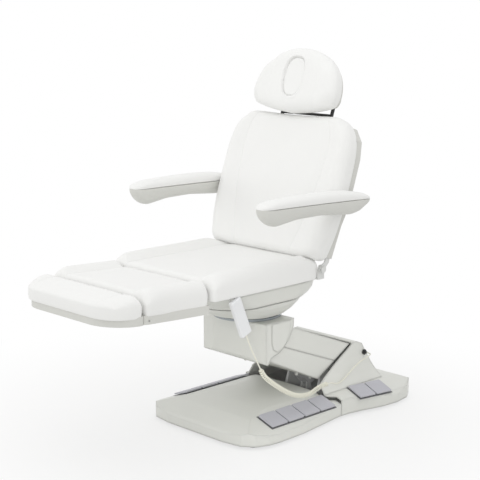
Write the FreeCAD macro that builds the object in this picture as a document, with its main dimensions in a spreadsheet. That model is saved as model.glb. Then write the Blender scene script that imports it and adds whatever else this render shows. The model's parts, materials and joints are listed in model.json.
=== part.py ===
"""Podiatry chair: a column-less lifting arm on a floor base with foot switches, a swivelling
and tilting seat, powered back and leg sections, a sliding foot section, a headrest and armrests.

Millimetres. X points to the patient's left, Y to the head end and Z up. The origin lies on the
floor, under the middle of the chair's box.
"""
import FreeCAD, Part
import os
from math import atan2, cos, degrees, hypot, pi, radians, sin, sqrt, tan

import Sketcher

Vector = FreeCAD.Vector
Placement = FreeCAD.Placement
Rotation = FreeCAD.Rotation
X_AXIS = Vector(1, 0, 0)
Y_AXIS = Vector(0, 1, 0)
Z_AXIS = Vector(0, 0, 1)

SIZES = dict(
    # Fits shared by many pieces
    overrun=20.0,
    face_gap=0.3,
    running_gap=0.05,
    open_pivot_gap=7.5,
    # Base: floor plate under two moulded covers
    base_length=995.0,
    base_half_width=311.0,
    base_rear=792.0,
    cover_wall=4.0,
    cover_lift=12.0,
    rim_height=44.0,
    plateau_height=99.0,
    front_slope_inner=194.0,
    front_slope_top=85.0,
    front_slope_outer=292.0,
    front_slope_foot=52.0,
    rear_slope_inner=222.0,
    rear_slope_top=91.0,
    rear_slope_outer=300.0,
    rear_slope_foot=64.0,
    seam_back=331.0,
    seam_step_inner=221.0,
    seam_step_outer=238.0,
    seam_gap=0.8,
    base_plate_thick=8.0,
    base_plate_lift=16.0,
    foot_radius=21.0,
    foot_stud_radius=6.0,
    foot_inset=235.0,
    foot_front=-125.0,
    foot_back=700.0,
    # Tower of the rear cover
    tower_front=292.0,
    tower_length=348.0,
    tower_height=254.0,
    tower_foot_half_width=216.0,
    tower_half_width=168.0,
    # Things in and on the base
    control_box_width=150.0,
    control_box_length=160.0,
    control_box_height=48.0,
    control_box_edge=170.0,
    control_box_front=20.0,
    inlet_width=50.0,
    inlet_height=22.0,
    inlet_depth=27.0,
    inlet_lift=18.0,
    gland_y=575.0,
    gland_z=203.0,
    gland_radius=6.0,
    gland_flange_radius=11.0,
    gland_flange=4.0,
    gland_nose=11.5,
    gland_clear=2.8,
    # Foot switches
    pad_width=79.0,
    pad_length=83.0,
    pad_pitch=89.0,
    pad_thick=5.4,
    pad_lift=4.6,
    pad_travel=3.0,
    pad_corner=5.0,
    pad_post_radius=5.0,
    pad_bore_depth=4.0,
    tray_thick=1.2,
    tray_margin=4.0,
    front_row_y=112.0,
    rear_row_y=505.0,
    front_row_slope_share=0.41,
    rear_row_slope_share=0.5,
    rear_row_flare=6.0,
    # Lifting arm
    lift_pivot_y=453.0,
    lift_pivot_z=184.0,
    arm_length=374.6,
    arm_angle=21.3,
    arm_cover_half_width=157.5,
    arm_cover_top=77.5,
    arm_cover_depth=91.0,
    arm_split=4.0,
    arm_split_gap=0.4,
    arm_clip_width=8.0,
    arm_clip_drop=9.0,
    side_bar_thick=10.0,
    side_bar_inner=66.0,
    side_bar_half_height=27.0,
    pivot_radius=10.0,
    pivot_tube_wall=10.0,
    stay_radius=7.0,
    stay_high=45.0,
    stay_low=13.0,
    stay_first=120.0,
    stay_second=262.0,
    lug_thick=10.0,
    side_gap=4.0,
    link_thick=8.0,
    link_half_height=12.0,
    link_offset_y=-15.0,
    link_offset_z=-45.0,
    link_pin_radius=7.0,
    # Lift actuator
    lift_foot_y=415.0,
    lift_foot_z=80.6,
    lift_grip=240.0,
    lift_shorten=22.0,
    lift_lengthen=58.0,
    # Actuators in general
    tube_radius=21.0,
    motor_radius=20.0,
    motor_length=92.0,
    motor_side=42.0,
    rod_radius=9.0,
    eye_radius=17.0,
    eye_half_width=10.0,
    eye_pin_radius=5.0,
    eye_lug_thick=5.0,
    tube_start=26.0,
    # Lift head
    head_front=-8.4,
    head_top=421.0,
    head_depth=165.0,
    head_half_width=171.0,
    head_height=161.0,
    head_face_half_width=102.0,
    head_chamfer=14.0,
    ear_panel_rise=3.0,
    head_plate_half_width=96.0,
    head_plate_front=8.0,
    head_plate_back=140.0,
    head_plate_thick=10.0,
    # Swivel
    swivel_y=75.0,
    bearing_radius=100.0,
    ring_radius=133.0,
    ring_thick=8.0,
    ring_lift=1.0,
    hub_radius=38.0,
    hub_depth=20.0,
    # Pans under the seat
    pan_bottom_radius=126.0,
    pan_wall=4.0,
    dish_height=87.0,
    pan_gap=2.0,
    pan_half_width=263.0,
    pan_front=335.0,
    pan_rear=285.0,
    dish_plate_radius=104.0,
    dish_plate_thick=8.0,
    # Tilt
    tilt_axis_y=212.0,
    tilt_axis_z=523.0,
    tilt_lug_x=70.0,
    tilt_lug_thick=8.0,
    tilt_lug_radius=11.0,
    tilt_foot_y=-20.0,
    tilt_foot_z=462.0,
    tilt_grip_y=110.0,
    tilt_grip_z=555.0,
    tilt_motor_length=60.0,
    tilt_open_gap=1.5,
    tilt_lengthen=21.0,
    # Seat
    board_bottom=581.5,
    board_thick=6.0,
    rail_x=150.0,
    rail_width=30.0,
    rail_height=20.0,
    rail_front=290.0,
    rail_back=205.0,
    board_back=275.0,
    hinge_gap=2.0,
    hinge_pin_radius=8.0,
    hinge_head_radius=12.0,
    # Actuators fixed under the seat
    seat_actuator_x=56.0,
    seat_rod_radius=7.0,
    seat_tube_radius=16.0,
    seat_motor_length=80.0,
    back_rod_z=559.0,
    back_tube_start=0.0,
    back_tube_end=126.0,
    back_pin_reach=43.2,
    leg_rod_z=530.0,
    leg_tube_start=-230.0,
    leg_tube_end=-85.0,
    leg_pin_reach=21.2,
    rod_inside=35.0,
    # Levers of the leg and back
    lever_thick=8.0,
    lever_gap=1.0,
    lever_edge=6.0,
    lever_pin_radius=5.0,
    lever_slot_half=8.0,
    lever_sweep_front=50.0,
    lever_sweep_rear=70.0,
    lever_bend=46.0,
    back_lever_angle=305.0,
    back_slot_near=54.5,
    back_slot_far=85.0,
    leg_lever_angle=235.0,
    leg_slot_near=24.0,
    leg_slot_far=48.5,
    lever_notch_reach=48.0,
    # Seat cushion
    seat_front=363.0,
    seat_back=219.0,
    seat_half_width=283.0,
    seat_rear_corner=112.0,
    cushion_lift=0.4,
    seat_cushion_height=92.0,
    bracket_x=266.0,
    bracket_thick=6.0,
    bracket_radius=17.0,
    hook_radius=2.0,
    # Knee and leg
    knee_y=-363.0,
    knee_z=560.0,
    leg_tilt=2.5,
    knee_lug_x=184.0,
    knee_lug_thick=8.0,
    knee_lug_radius=13.0,
    leg_pin_radius=6.0,
    knee_tube_radius=10.0,
    leg_tie_radius=6.0,
    section_start=8.0,
    calf_length=285.0,
    calf_half_width=266.0,
    leg_cushion_height=84.0,
    leg_shell_low=14.0,
    leg_shell_high=17.0,
    section_gap=5.0,
    foot_length=131.0,
    foot_half_width=264.0,
    foot_corner_share=0.46,
    leg_shell_wall=3.0,
    foot_rail_x=110.0,
    foot_rail_radius=8.0,
    foot_sleeve_wall=4.0,
    foot_rail_length=215.0,
    foot_rail_lift=3.0,
    knob_radius=15.0,
    knob_drop=10.0,
    knob_share=0.59,
    # Back
    back_y=195.0,
    back_z=620.0,
    back_angle=70.7,
    back_half_width=318.0,
    back_top=572.0,
    back_low=46.0,
    back_cushion_depth=72.0,
    back_cushion_rear=4.0,
    back_shell_depth=30.0,
    back_shell_half_width=308.0,
    back_shell_edge=12.0,
    back_arm_thick=6.0,
    back_arm_half=12.0,
    back_arm_top=120.0,
    hinge_boss=15.0,
    back_tube_low=60.0,
    back_tube_high=500.0,
    back_sleeve_radius=11.0,
    back_sleeve_end=540.0,
    back_frame_half_width=262.0,
    back_tube_radius=9.0,
    # Headrest
    head_half_span=215.0,
    head_low=566.0,
    head_high=822.0,
    head_front_depth=114.0,
    head_cushion_rear=50.0,
    head_shell_rear=32.0,
    hole_half_width=55.0,
    hole_low=624.0,
    hole_high=782.0,
    hole_floor=50.0,
    head_lug_thick=6.0,
    head_shell_share=0.93,
    bracket_bar_x=130.0,
    bracket_bar_radius=7.0,
    bracket_pin_radius=5.5,
    bracket_bar_depth=14.0,
    bracket_bar_low=330.0,
    tilt_pin_up=655.0,
    # Armrests
    arm_pivot_up=258.0,
    arm_rest_inner=323.0,
    arm_rest_width=72.0,
    arm_rest_toe=19.0,
    arm_rest_front=-232.0,
    arm_rest_top=933.0,
    arm_pin_radius=8.0,
    arm_pin_depth=5.0,
    arm_pin_reach=20.0,
    arm_boss_wall=4.0,
    arm_shell_wall=3.0,
    # Handset
    handset_length=146.0,
    handset_width=49.0,
    handset_thick=19.0,
    handset_lean=22.7,
    handset_x=280.0,
    handset_y=-235.6,
    handset_z=513.0,
    keypad_rise=0.6,
    handset_round=5.0,
    handset_clip_reach=8.0,
    hook_drop=4.3,
    # Handset cord
    cord_diameter=5.0,
    curl_diameter=19.0,
    curl_pitch=9.5,
)

doc = FreeCAD.newDocument("PodiatryChair")
sheet = doc.addObject("Spreadsheet::Sheet", "Sizes")
for row, (alias, number) in enumerate(SIZES.items(), start=1):
    sheet.set(f"A{row}", alias)
    sheet.set(f"B{row}", str(number))
    sheet.setAlias(f"B{row}", alias)
doc.recompute()


class Size:
    """A number from the sheet, or a sum of such numbers, with the expression that gives it."""

    def __init__(self, value, text):
        self.value = float(value)
        self.text = text

    def __float__(self):
        return self.value

    def __add__(self, other):
        other = as_size(other)
        return Size(self.value + other.value, f"({self.text} + {other.text})")

    def __radd__(self, other):
        return as_size(other) + self

    def __sub__(self, other):
        other = as_size(other)
        return Size(self.value - other.value, f"({self.text} - {other.text})")

    def __rsub__(self, other):
        return as_size(other) - self

    def __mul__(self, other):
        other = as_size(other)
        return Size(self.value * other.value, f"({self.text} * {other.text})")

    def __rmul__(self, other):
        return as_size(other) * self

    def __truediv__(self, other):
        other = as_size(other)
        return Size(self.value / other.value, f"({self.text} / {other.text})")

    def __neg__(self):
        return Size(-self.value, f"(0 - {self.text})")


def as_size(number):
    """A plain number as a size, so that it can be bound like one."""
    if isinstance(number, Size):
        return number
    return Size(number, f"({float(number):.6f})")


class SheetSizes:
    """Reads the sheet's cells by their aliases."""

    def __getattr__(self, alias):
        return Size(sheet.get(alias), f"Sizes.{alias}")


S = SheetSizes()
NODES = {}


def node(label, thing):
    """Name a finished sub-part; the label is also the name of its file."""
    thing.Label = label
    NODES[label] = thing
    return thing


def bind(thing, **values):
    """Bind an object's properties to sizes."""
    for prop, size in values.items():
        thing.setExpression(prop, as_size(size).text)
    return thing


def place(thing, x=0, y=0, z=0):
    """Bind an object's position to sizes."""
    for axis, size in (("x", x), ("y", y), ("z", z)):
        thing.setExpression(f"Placement.Base.{axis}", as_size(size).text)
    return thing


def turn(thing, axis, angle):
    """Turn an object about an axis through its own origin, by an angle of the sheet."""
    thing.Placement = Placement(Vector(), Rotation(axis, float(angle)))
    return thing


def box(name, x0, x1, y0, y1, z0, z1):
    """Block between three pairs of planes."""
    block = doc.addObject("Part::Box", name)
    bind(block, Length=as_size(x1) - x0, Width=as_size(y1) - y0, Height=as_size(z1) - z0)
    return place(block, x0, y0, z0)


def rod_x(name, y, z, radius, x0, x1):
    """Round bar along X."""
    bar = turn(doc.addObject("Part::Cylinder", name), Y_AXIS, 90)
    bind(bar, Radius=radius, Height=as_size(x1) - x0)
    return place(bar, x0, y, z)


def rod_y(name, x, z, radius, y0, y1):
    """Round bar along Y."""
    bar = turn(doc.addObject("Part::Cylinder", name), X_AXIS, -90)
    bind(bar, Radius=radius, Height=as_size(y1) - y0)
    return place(bar, x, y0, z)


def post(name, x, y, radius, z0, z1):
    """Round bar along Z."""
    bar = doc.addObject("Part::Cylinder", name)
    bind(bar, Radius=radius, Height=as_size(z1) - z0)
    return place(bar, x, y, z0)


def outline_body(name, plane, points, depth, symmetric=False):
    """Closed outline on one of the body's own planes, padded square to it."""
    body = doc.addObject("PartDesign::Body", name)
    sketch = body.newObject("Sketcher::SketchObject", f"{name}_outline")
    origin_plane = next(item for item in body.Origin.OriginFeatures if item.Role == plane)
    sketch.AttachmentSupport = [(origin_plane, "")]
    sketch.MapMode = "FlatFace"
    count = len(points)
    flat = [Vector(float(a), float(b), 0) for a, b in points]
    for index in range(count):
        sketch.addGeometry(Part.LineSegment(flat[index], flat[(index + 1) % count]), False)
    for index in range(count):
        joined = Sketcher.Constraint("Coincident", index, 2, (index + 1) % count, 1)
        sketch.addConstraint(joined)
    for index, pair in enumerate(points):
        for kind, axis, size in (("DistanceX", -2, pair[0]), ("DistanceY", -1, pair[1])):
            if abs(float(size)) < 1e-9:
                sketch.addConstraint(Sketcher.Constraint("PointOnObject", index, 1, axis))
                continue
            number = sketch.addConstraint(
                Sketcher.Constraint(kind, -1, 1, index, 1, float(size)))
            if isinstance(size, Size):
                sketch.setExpression(f"Constraints[{number}]", size.text)
    pad = body.newObject("PartDesign::Pad", f"{name}_pad")
    pad.Profile = sketch
    if symmetric:
        pad.SideType = "Symmetric"
    bind(pad, Length=depth)
    return body


def slab_x(name, points, half_width):
    """Side outline in Y and Z, as thick to both sides of the chair's middle plane."""
    return outline_body(name, "YZ_Plane", points, as_size(half_width) * 2, symmetric=True)


def plate_x(name, points, x0, thick):
    """Side outline in Y and Z, from x0 towards +X."""
    return place(outline_body(name, "YZ_Plane", points, thick), x=x0)


def slab_y(name, points, y0, length):
    """Cross outline in X and Z, from y0 towards +Y."""
    return place(outline_body(name, "XZ_Plane", points, length), y=as_size(y0) + length)


def slab_z(name, points, z0, thick):
    """Plan outline in X and Y, from z0 upwards."""
    return place(outline_body(name, "XY_Plane", points, thick), z=z0)


def fuse(name, *things):
    """One solid of several that meet."""
    joined = doc.addObject("Part::MultiFuse", name)
    joined.Shapes = list(things)
    joined.Refine = True
    return joined


def common(name, *things):
    """What several solids share."""
    shared = doc.addObject("Part::MultiCommon", name)
    shared.Shapes = list(things)
    return shared


def cut(name, base, *tools):
    """A solid with others taken away."""
    tool = tools[0] if len(tools) == 1 else fuse(f"{name}_tools", *tools)
    rest = doc.addObject("Part::Cut", name)
    rest.Base = base
    rest.Tool = tool
    return rest


def group(name, *things):
    """Several solids kept apart in one sub-part."""
    bundle = doc.addObject("Part::Compound", name)
    bundle.Links = list(things)
    return bundle


def feature(name, shape):
    """A shape made of lofts or pipes."""
    item = doc.addObject("Part::Feature", name)
    item.Shape = shape
    return item


def mirrored(points):
    """Half an outline at +X, completed at -X."""
    other = [(-as_size(a), b) for a, b in reversed(points) if float(a) > 0]
    return list(points) + other


def shares_to(points, width, height, left=0, low=0):
    """Outline of shares, scaled to a width and a height."""
    return [(as_size(left) + as_size(width) * a, as_size(low) + as_size(height) * b)
            for a, b in points]


def inset(points, wall, open_edges=()):
    """Outline moved inwards by a wall, or outwards by the overrun at its open edges."""
    flat = [(float(a), float(b)) for a, b in points]
    count = len(flat)
    area = sum(flat[i][0] * flat[(i + 1) % count][1] - flat[(i + 1) % count][0] * flat[i][1]
               for i in range(count))
    side = 1 if area > 0 else -1
    lines = []
    for i in range(count):
        (ax, ay), (bx, by) = flat[i], flat[(i + 1) % count]
        length = hypot(bx - ax, by - ay)
        dx, dy = (bx - ax) / length, (by - ay) / length
        move = -float(S.overrun) if i in open_edges else float(wall)
        lines.append((ax - dy * move * side, ay + dx * move * side, dx, dy))
    moved = []
    for i in range(count):
        ax, ay, adx, ady = lines[i - 1]
        bx, by, bdx, bdy = lines[i]
        cross = adx * bdy - ady * bdx
        if abs(cross) < 1e-6:
            moved.append((bx, by))
            continue
        along = ((bx - ax) * bdy - (by - ay) * bdx) / cross
        moved.append((ax + adx * along, ay + ady * along))
    return moved


# Plan of the base: shares of its half width and of its length, from the foot end
BASE_PLAN_SHARES = [
    (0.48, 0.0), (0.756, 0.013), (0.90, 0.05), (0.965, 0.10), (0.981, 0.154), (0.965, 0.284),
    (0.91, 0.405), (0.855, 0.525), (0.862, 0.58), (0.90, 0.646), (0.981, 0.747), (1.0, 0.827),
    (0.958, 0.907), (0.842, 0.965), (0.643, 0.993), (0.32, 1.0)]
base_front = S.base_rear - S.base_length
half_plan = shares_to(BASE_PLAN_SHARES, S.base_half_width, S.base_length, 0, base_front)
base_plan = mirrored(half_plan)

# The seam between the covers steps towards the foot end beside the tower
SEAM_END_SHARE = 0.857
CROWN_WIDTH_SHARES = (0.85, 0.6)
CROWN_FALL_SHARE = 0.3


def cover(name, across, along, plan, plan_open, along_open):
    """Moulded cover: a plan, a cross outline and a side outline that share one solid."""
    outer = common(
        f"{name}_outer",
        slab_z(f"{name}_plan", plan, S.cover_lift, S.plateau_height),
        slab_y(f"{name}_across", across, base_front, S.base_length),
        slab_x(f"{name}_along", along, S.base_half_width + S.overrun))
    inner = common(
        f"{name}_inner",
        slab_z(f"{name}_plan_in", inset(plan, S.cover_wall, plan_open),
               S.cover_lift - S.overrun, S.plateau_height + S.overrun),
        slab_y(f"{name}_across_in", inset(across, S.cover_wall, [bottom_edge(across)]),
               base_front, S.base_length),
        slab_x(f"{name}_along_in",
               inset(along, S.cover_wall, [bottom_edge(along)] + along_open),
               S.base_half_width + S.overrun))
    return outer, inner


def bottom_edge(points):
    """Index of the edge that joins the outline's two lowest points."""
    lows = [float(points[i][1]) + float(points[(i + 1) % len(points)][1])
            for i in range(len(points))]
    return lows.index(min(lows))


def cross_outline(inner, top, outer, foot):
    """Cross outline of a cover: level top, a slope for the foot switches and an upright rim."""
    crown = S.plateau_height
    half = [
        (S.base_half_width, S.cover_lift), (S.base_half_width, S.rim_height),
        (outer, foot), (inner, top),
        (inner * CROWN_WIDTH_SHARES[0], crown - (crown - top) * CROWN_FALL_SHARE),
        (inner * CROWN_WIDTH_SHARES[1], crown)]
    return mirrored(half)


front_across = cross_outline(S.front_slope_inner, S.front_slope_top,
                             S.front_slope_outer, S.front_slope_foot)
rear_across = cross_outline(S.rear_slope_inner, S.rear_slope_top,
                            S.rear_slope_outer, S.rear_slope_foot)

# Side outlines: shares of the cover's length and of the plateau's height
FRONT_RISE_SHARES = [(0.0, 0.46), (0.02, 0.56), (0.09, 0.70), (0.19, 0.85), (0.38, 0.955),
                     (0.58, 1.0), (1.0, 1.0)]
REAR_FALL_SHARES = [(0.0, 1.0), (0.72, 1.0), (0.85, 0.92), (0.94, 0.74), (0.985, 0.56),
                    (1.0, 0.46)]
front_length = S.seam_back - base_front
rear_length = S.base_rear - S.tower_front
front_along = [(base_front, S.cover_lift)] + shares_to(
    FRONT_RISE_SHARES, front_length, S.plateau_height, base_front) + [(S.seam_back, S.cover_lift)]
rear_along = [(S.tower_front, S.cover_lift)] + shares_to(
    REAR_FALL_SHARES, rear_length, S.plateau_height, S.tower_front) + [(S.base_rear, S.cover_lift)]

# Front cover: its edge along the seam stays open
front_plan_half = [p for p in half_plan if float(p[1]) < float(S.seam_back)]
seam_edge = [(S.base_half_width * SEAM_END_SHARE, S.seam_back - S.seam_gap),
             (S.seam_step_outer, S.seam_back - S.seam_gap),
             (S.seam_step_inner, S.tower_front - S.seam_gap)]
front_plan = mirrored(front_plan_half + seam_edge)
seam_first = len(front_plan_half)
front_open = list(range(seam_first, seam_first + 5))
front_outer, front_inner = cover("front_cover", front_across, front_along, front_plan,
                                 front_open, [len(front_along) - 2])
node("front_base_cover", cut("front_base_cover_cut", front_outer, front_inner))

# Shares of a size at which corners, lugs, bores and tubes lie
FLAT_SHARE = 0.5
CROWN_SHARE = 0.9
NARROW_SHARE = 0.4
ROOT_SHARE = 3.5
SLOPE_SHARE = 1.3
SPREAD_SHARE = 1.5
EYE_LUG_SHARE = 2.2
HUB_HOLE_SHARE = 0.9
HUB_NECK_SHARE = 0.88
RACE_SHARE = 0.62
TOWER_TOP_SHARES = (0.82, 0.97)
TILT_LUG_SHARES = (0.1, 0.68)
INLET_SEAT_SHARE = 0.6
NOSE_SHARE = 0.8
BEVEL_SHARE = 0.45
EYE_SHARE = 0.8
BRIDGE_SHARE = 0.6
BRIDGE_HALF_SHARE = 0.7
SHOULDER_SHARES = (0.6, 0.8)
CLIP_SHARE = 0.6
BOARD_REAR_SHARES = (0.85, 0.83, 0.6)
SEAT_PLAN_SHARES = (0.9, 0.975, 0.98)
LEG_TUBE_SHARES = (0.95, 0.52, 0.97)
CALF_PLAN_SHARES = (0.97, 0.985, 0.96, 0.5)
FOOT_PLAN_SHARES = (0.99, 0.4)
BACK_BAR_SHARE = 0.8
BOSS_SHARES = (1.8, 0.6)
PIN_TUBE_SHARE = 0.85
BEND_SHARE = 1.13
HEAD_DEPTH_SHARE = 0.95
TILT_TUBE_SHARES = (0.6, 0.75)
KEYPAD_SHARES = (0.36, 0.30)
CLIP_PLACE_SHARES = (0.2, 0.36)
HOOK_SHARES = (0.3, 1.5)

# Rear cover: its low part and the tower that holds the arm's pivot are one moulding
rear_plan_half = [p for p in half_plan if float(p[1]) > float(S.seam_back)]
rear_plan = mirrored([(S.seam_step_inner, S.tower_front), (S.seam_step_outer, S.seam_back),
                      (S.base_half_width * SEAM_END_SHARE, S.seam_back)] + rear_plan_half)
rear_count = len(rear_plan)
rear_open = [0, 1, rear_count - 3, rear_count - 2, rear_count - 1]
rear_outer, rear_inner = cover("rear_cover", rear_across, rear_along, rear_plan, rear_open, [0])
TOWER_SIDE_SHARES = [(0.0, 0.30), (0.0, 0.52), (0.645, 0.995), (0.70, 1.0), (0.79, 0.95),
                     (0.876, 0.735), (1.0, 0.377), (1.0, 0.30)]
TOWER_CROSS_SHARES = [(1.0, 0.30), (0.972, 0.385), (0.90, 0.48), (0.835, 0.60), (0.79, 0.75)]
tower_side = shares_to(TOWER_SIDE_SHARES, S.tower_length, S.tower_height, S.tower_front)
tower_cross = mirrored(
    shares_to(TOWER_CROSS_SHARES, S.tower_foot_half_width, S.tower_height)
    + [(S.tower_half_width, S.tower_height * TOWER_TOP_SHARES[0]),
       (S.tower_half_width * TOWER_TOP_SHARES[1], S.tower_height)])
tower_outer = common(
    "tower_outer",
    slab_x("tower_side", tower_side, S.tower_foot_half_width),
    slab_y("tower_cross", tower_cross, S.tower_front, S.tower_length))
tower_inner = common(
    "tower_inner",
    slab_x("tower_side_in", inset(tower_side, S.cover_wall, [0, 1, 7]), S.tower_foot_half_width),
    slab_y("tower_cross_in", inset(tower_cross, S.cover_wall, [bottom_edge(tower_cross)]),
           S.tower_front - S.overrun, S.tower_length + S.overrun))
inlet_hole = box(
    "inlet_hole", -(S.inlet_width / 2 + S.face_gap), S.inlet_width / 2 + S.face_gap,
    S.base_rear - S.overrun, S.base_rear + S.overrun, S.inlet_lift - S.face_gap,
    S.inlet_lift + S.inlet_height + S.face_gap)
gland_hole = rod_x("gland_hole", S.gland_y, S.gland_z, S.gland_radius + S.face_gap,
                   S.tower_half_width - S.overrun, S.tower_half_width + S.overrun)
node("rear_base_cover",
     cut("rear_base_cover_cut", fuse("rear_cover_solid", rear_outer, tower_outer),
         rear_inner, tower_inner, inlet_hole, gland_hole))

# Floor plate with the towers that carry the lifting arm and its levelling link
plate_plan = inset(base_plan, S.cover_wall + S.face_gap)
inlet_notch = box(
    "inlet_notch", -(S.inlet_width / 2 + S.face_gap), S.inlet_width / 2 + S.face_gap,
    S.base_rear - S.inlet_depth - S.face_gap, S.base_rear, 0, S.base_plate_lift * 2)
floor_plate = cut("floor_plate", slab_z("floor_plate_slab", plate_plan, S.base_plate_lift,
                                        S.base_plate_thick), inlet_notch)
plate_top = S.base_plate_lift + S.base_plate_thick
lug_inner = S.side_bar_inner + S.side_bar_thick + S.side_gap
link_pivot_y = S.lift_pivot_y + S.link_offset_y
link_pivot_z = S.lift_pivot_z + S.link_offset_z
lug_head = S.pivot_radius * 2.2
tower_lug = [
    (S.lift_pivot_y - lug_head * ROOT_SHARE, plate_top), (S.lift_pivot_y + lug_head * ROOT_SHARE,
                                                          plate_top),
    (S.lift_pivot_y + lug_head, S.lift_pivot_z), (S.lift_pivot_y + lug_head * FLAT_SHARE,
                                                  S.lift_pivot_z + lug_head * CROWN_SHARE),
    (S.lift_pivot_y - lug_head * FLAT_SHARE, S.lift_pivot_z + lug_head * CROWN_SHARE),
    (S.lift_pivot_y - lug_head * SLOPE_SHARE, S.lift_pivot_z)]
lugs = [plate_x("tower_lug_left", tower_lug, lug_inner, S.lug_thick),
        plate_x("tower_lug_right", tower_lug, -(lug_inner + S.lug_thick), S.lug_thick)]
foot_lug_reach = S.eye_pin_radius * 2.4
foot_lug = [
    (S.lift_foot_y - foot_lug_reach * SPREAD_SHARE, plate_top),
    (S.lift_foot_y + foot_lug_reach * SPREAD_SHARE, plate_top),
    (S.lift_foot_y + foot_lug_reach, S.lift_foot_z),
    (S.lift_foot_y + foot_lug_reach * NARROW_SHARE, S.lift_foot_z + foot_lug_reach * CROWN_SHARE),
    (S.lift_foot_y - foot_lug_reach * NARROW_SHARE, S.lift_foot_z + foot_lug_reach * CROWN_SHARE),
    (S.lift_foot_y - foot_lug_reach, S.lift_foot_z)]
eye_lug_inner = S.eye_half_width + S.side_gap / 2
foot_lugs = [plate_x("lift_foot_lug_left", foot_lug, eye_lug_inner, S.eye_lug_thick),
             plate_x("lift_foot_lug_right", foot_lug, -(eye_lug_inner + S.eye_lug_thick),
                     S.eye_lug_thick)]
shaft_half = lug_inner + S.lug_thick + S.side_gap
pivot_hole = rod_x("lift_pivot_hole", S.lift_pivot_y, S.lift_pivot_z, S.pivot_radius,
                   -shaft_half, shaft_half)
link_end = lug_inner + S.lug_thick + S.side_gap + S.link_thick + S.side_gap
link_hole = rod_x("link_pin_hole", link_pivot_y, link_pivot_z, S.link_pin_radius,
                  -link_end, link_end)
foot_pin_half = eye_lug_inner + S.eye_lug_thick + S.side_gap / 2
foot_pin_hole = rod_x("lift_foot_pin_hole", S.lift_foot_y, S.lift_foot_z, S.eye_pin_radius,
                      -foot_pin_half, foot_pin_half)
node("base_frame",
     cut("base_frame_cut", fuse("base_frame_solid", floor_plate, *lugs, *foot_lugs),
         pivot_hole, link_hole, foot_pin_hole))

# Pins of the base: the arm's shaft, two link pins and the lift actuator's foot pin
node("base_pivot_pins", group(
    "base_pins",
    rod_x("lift_shaft", S.lift_pivot_y, S.lift_pivot_z, S.pivot_radius, -shaft_half, shaft_half),
    rod_x("link_pin_left", link_pivot_y, link_pivot_z, S.link_pin_radius, lug_inner, link_end),
    rod_x("link_pin_right", link_pivot_y, link_pivot_z, S.link_pin_radius, -link_end, -lug_inner),
    rod_x("lift_foot_pin", S.lift_foot_y, S.lift_foot_z, S.eye_pin_radius,
          -foot_pin_half, foot_pin_half)))

# Four levelling feet: a rubber foot on a threaded stud each
feet = []
for side in (-1, 1):
    for end, foot_y in enumerate((S.foot_front, S.foot_back)):
        name = f"foot_{side + 1}_{end}"
        feet.append(fuse(
            name,
            post(f"{name}_rubber", S.foot_inset * side, foot_y, S.foot_radius, 0, S.cover_lift),
            post(f"{name}_stud", S.foot_inset * side, foot_y, S.foot_stud_radius,
                 S.cover_lift, S.base_plate_lift)))
node("levelling_feet", group("levelling_feet_group", *feet))

node("control_box", box(
    "control_box_block", -S.control_box_edge, S.control_box_width - S.control_box_edge,
    S.control_box_front, S.control_box_front + S.control_box_length, plate_top,
    plate_top + S.control_box_height))

# Mains inlet: a block with a recess for the plug
inlet_body = box("inlet_body", -(S.inlet_width / 2), S.inlet_width / 2,
                 S.base_rear - S.inlet_depth, S.base_rear, S.inlet_lift,
                 S.inlet_lift + S.inlet_height)
inlet_wall = S.cover_wall / 2
inlet_recess = box(
    "inlet_recess", inlet_wall - S.inlet_width / 2, S.inlet_width / 2 - inlet_wall,
    S.base_rear - S.inlet_depth * INLET_SEAT_SHARE, S.base_rear + S.overrun,
                   S.inlet_lift + inlet_wall,
    S.inlet_lift + S.inlet_height - inlet_wall)
node("mains_inlet", cut("mains_inlet_cut", inlet_body, inlet_recess))

# Gland in the tower's side, where the handset's cord goes in
gland_out = S.tower_half_width + S.gland_clear
gland_nose = turn(doc.addObject("Part::Cone", "gland_nose"), Y_AXIS, 90)
bind(gland_nose, Radius1=S.gland_radius, Radius2=S.cord_diameter * NOSE_SHARE, Height=S.gland_nose)
place(gland_nose, gland_out + S.gland_flange, S.gland_y, S.gland_z)
node("cord_gland", fuse(
    "cord_gland_solid",
    rod_x("gland_stem", S.gland_y, S.gland_z, S.gland_radius,
          S.tower_half_width - S.cover_wall * 3, gland_out),
    rod_x("gland_flange", S.gland_y, S.gland_z, S.gland_flange_radius, gland_out,
          gland_out + S.gland_flange),
    gland_nose))


def row_placement(side, rear):
    """Frame of one row of foot switches: on the cover's slope, turned out at the rear."""
    if rear:
        inner, top = float(S.rear_slope_inner), float(S.rear_slope_top)
        outer, low = float(S.rear_slope_outer), float(S.rear_slope_foot)
        share, middle, flare = (float(S.rear_row_slope_share), float(S.rear_row_y),
                                float(S.rear_row_flare))
    else:
        inner, top = float(S.front_slope_inner), float(S.front_slope_top)
        outer, low = float(S.front_slope_outer), float(S.front_slope_foot)
        share, middle, flare = float(S.front_row_slope_share), float(S.front_row_y), 0
    slope = degrees(atan2(top - low, outer - inner))
    centre = Vector(side * (inner + (outer - inner) * share), middle, top + (low - top) * share)
    lean = Rotation(Y_AXIS, side * slope).multiply(Rotation(Z_AXIS, -side * flare))
    return Placement(centre, lean)


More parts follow.
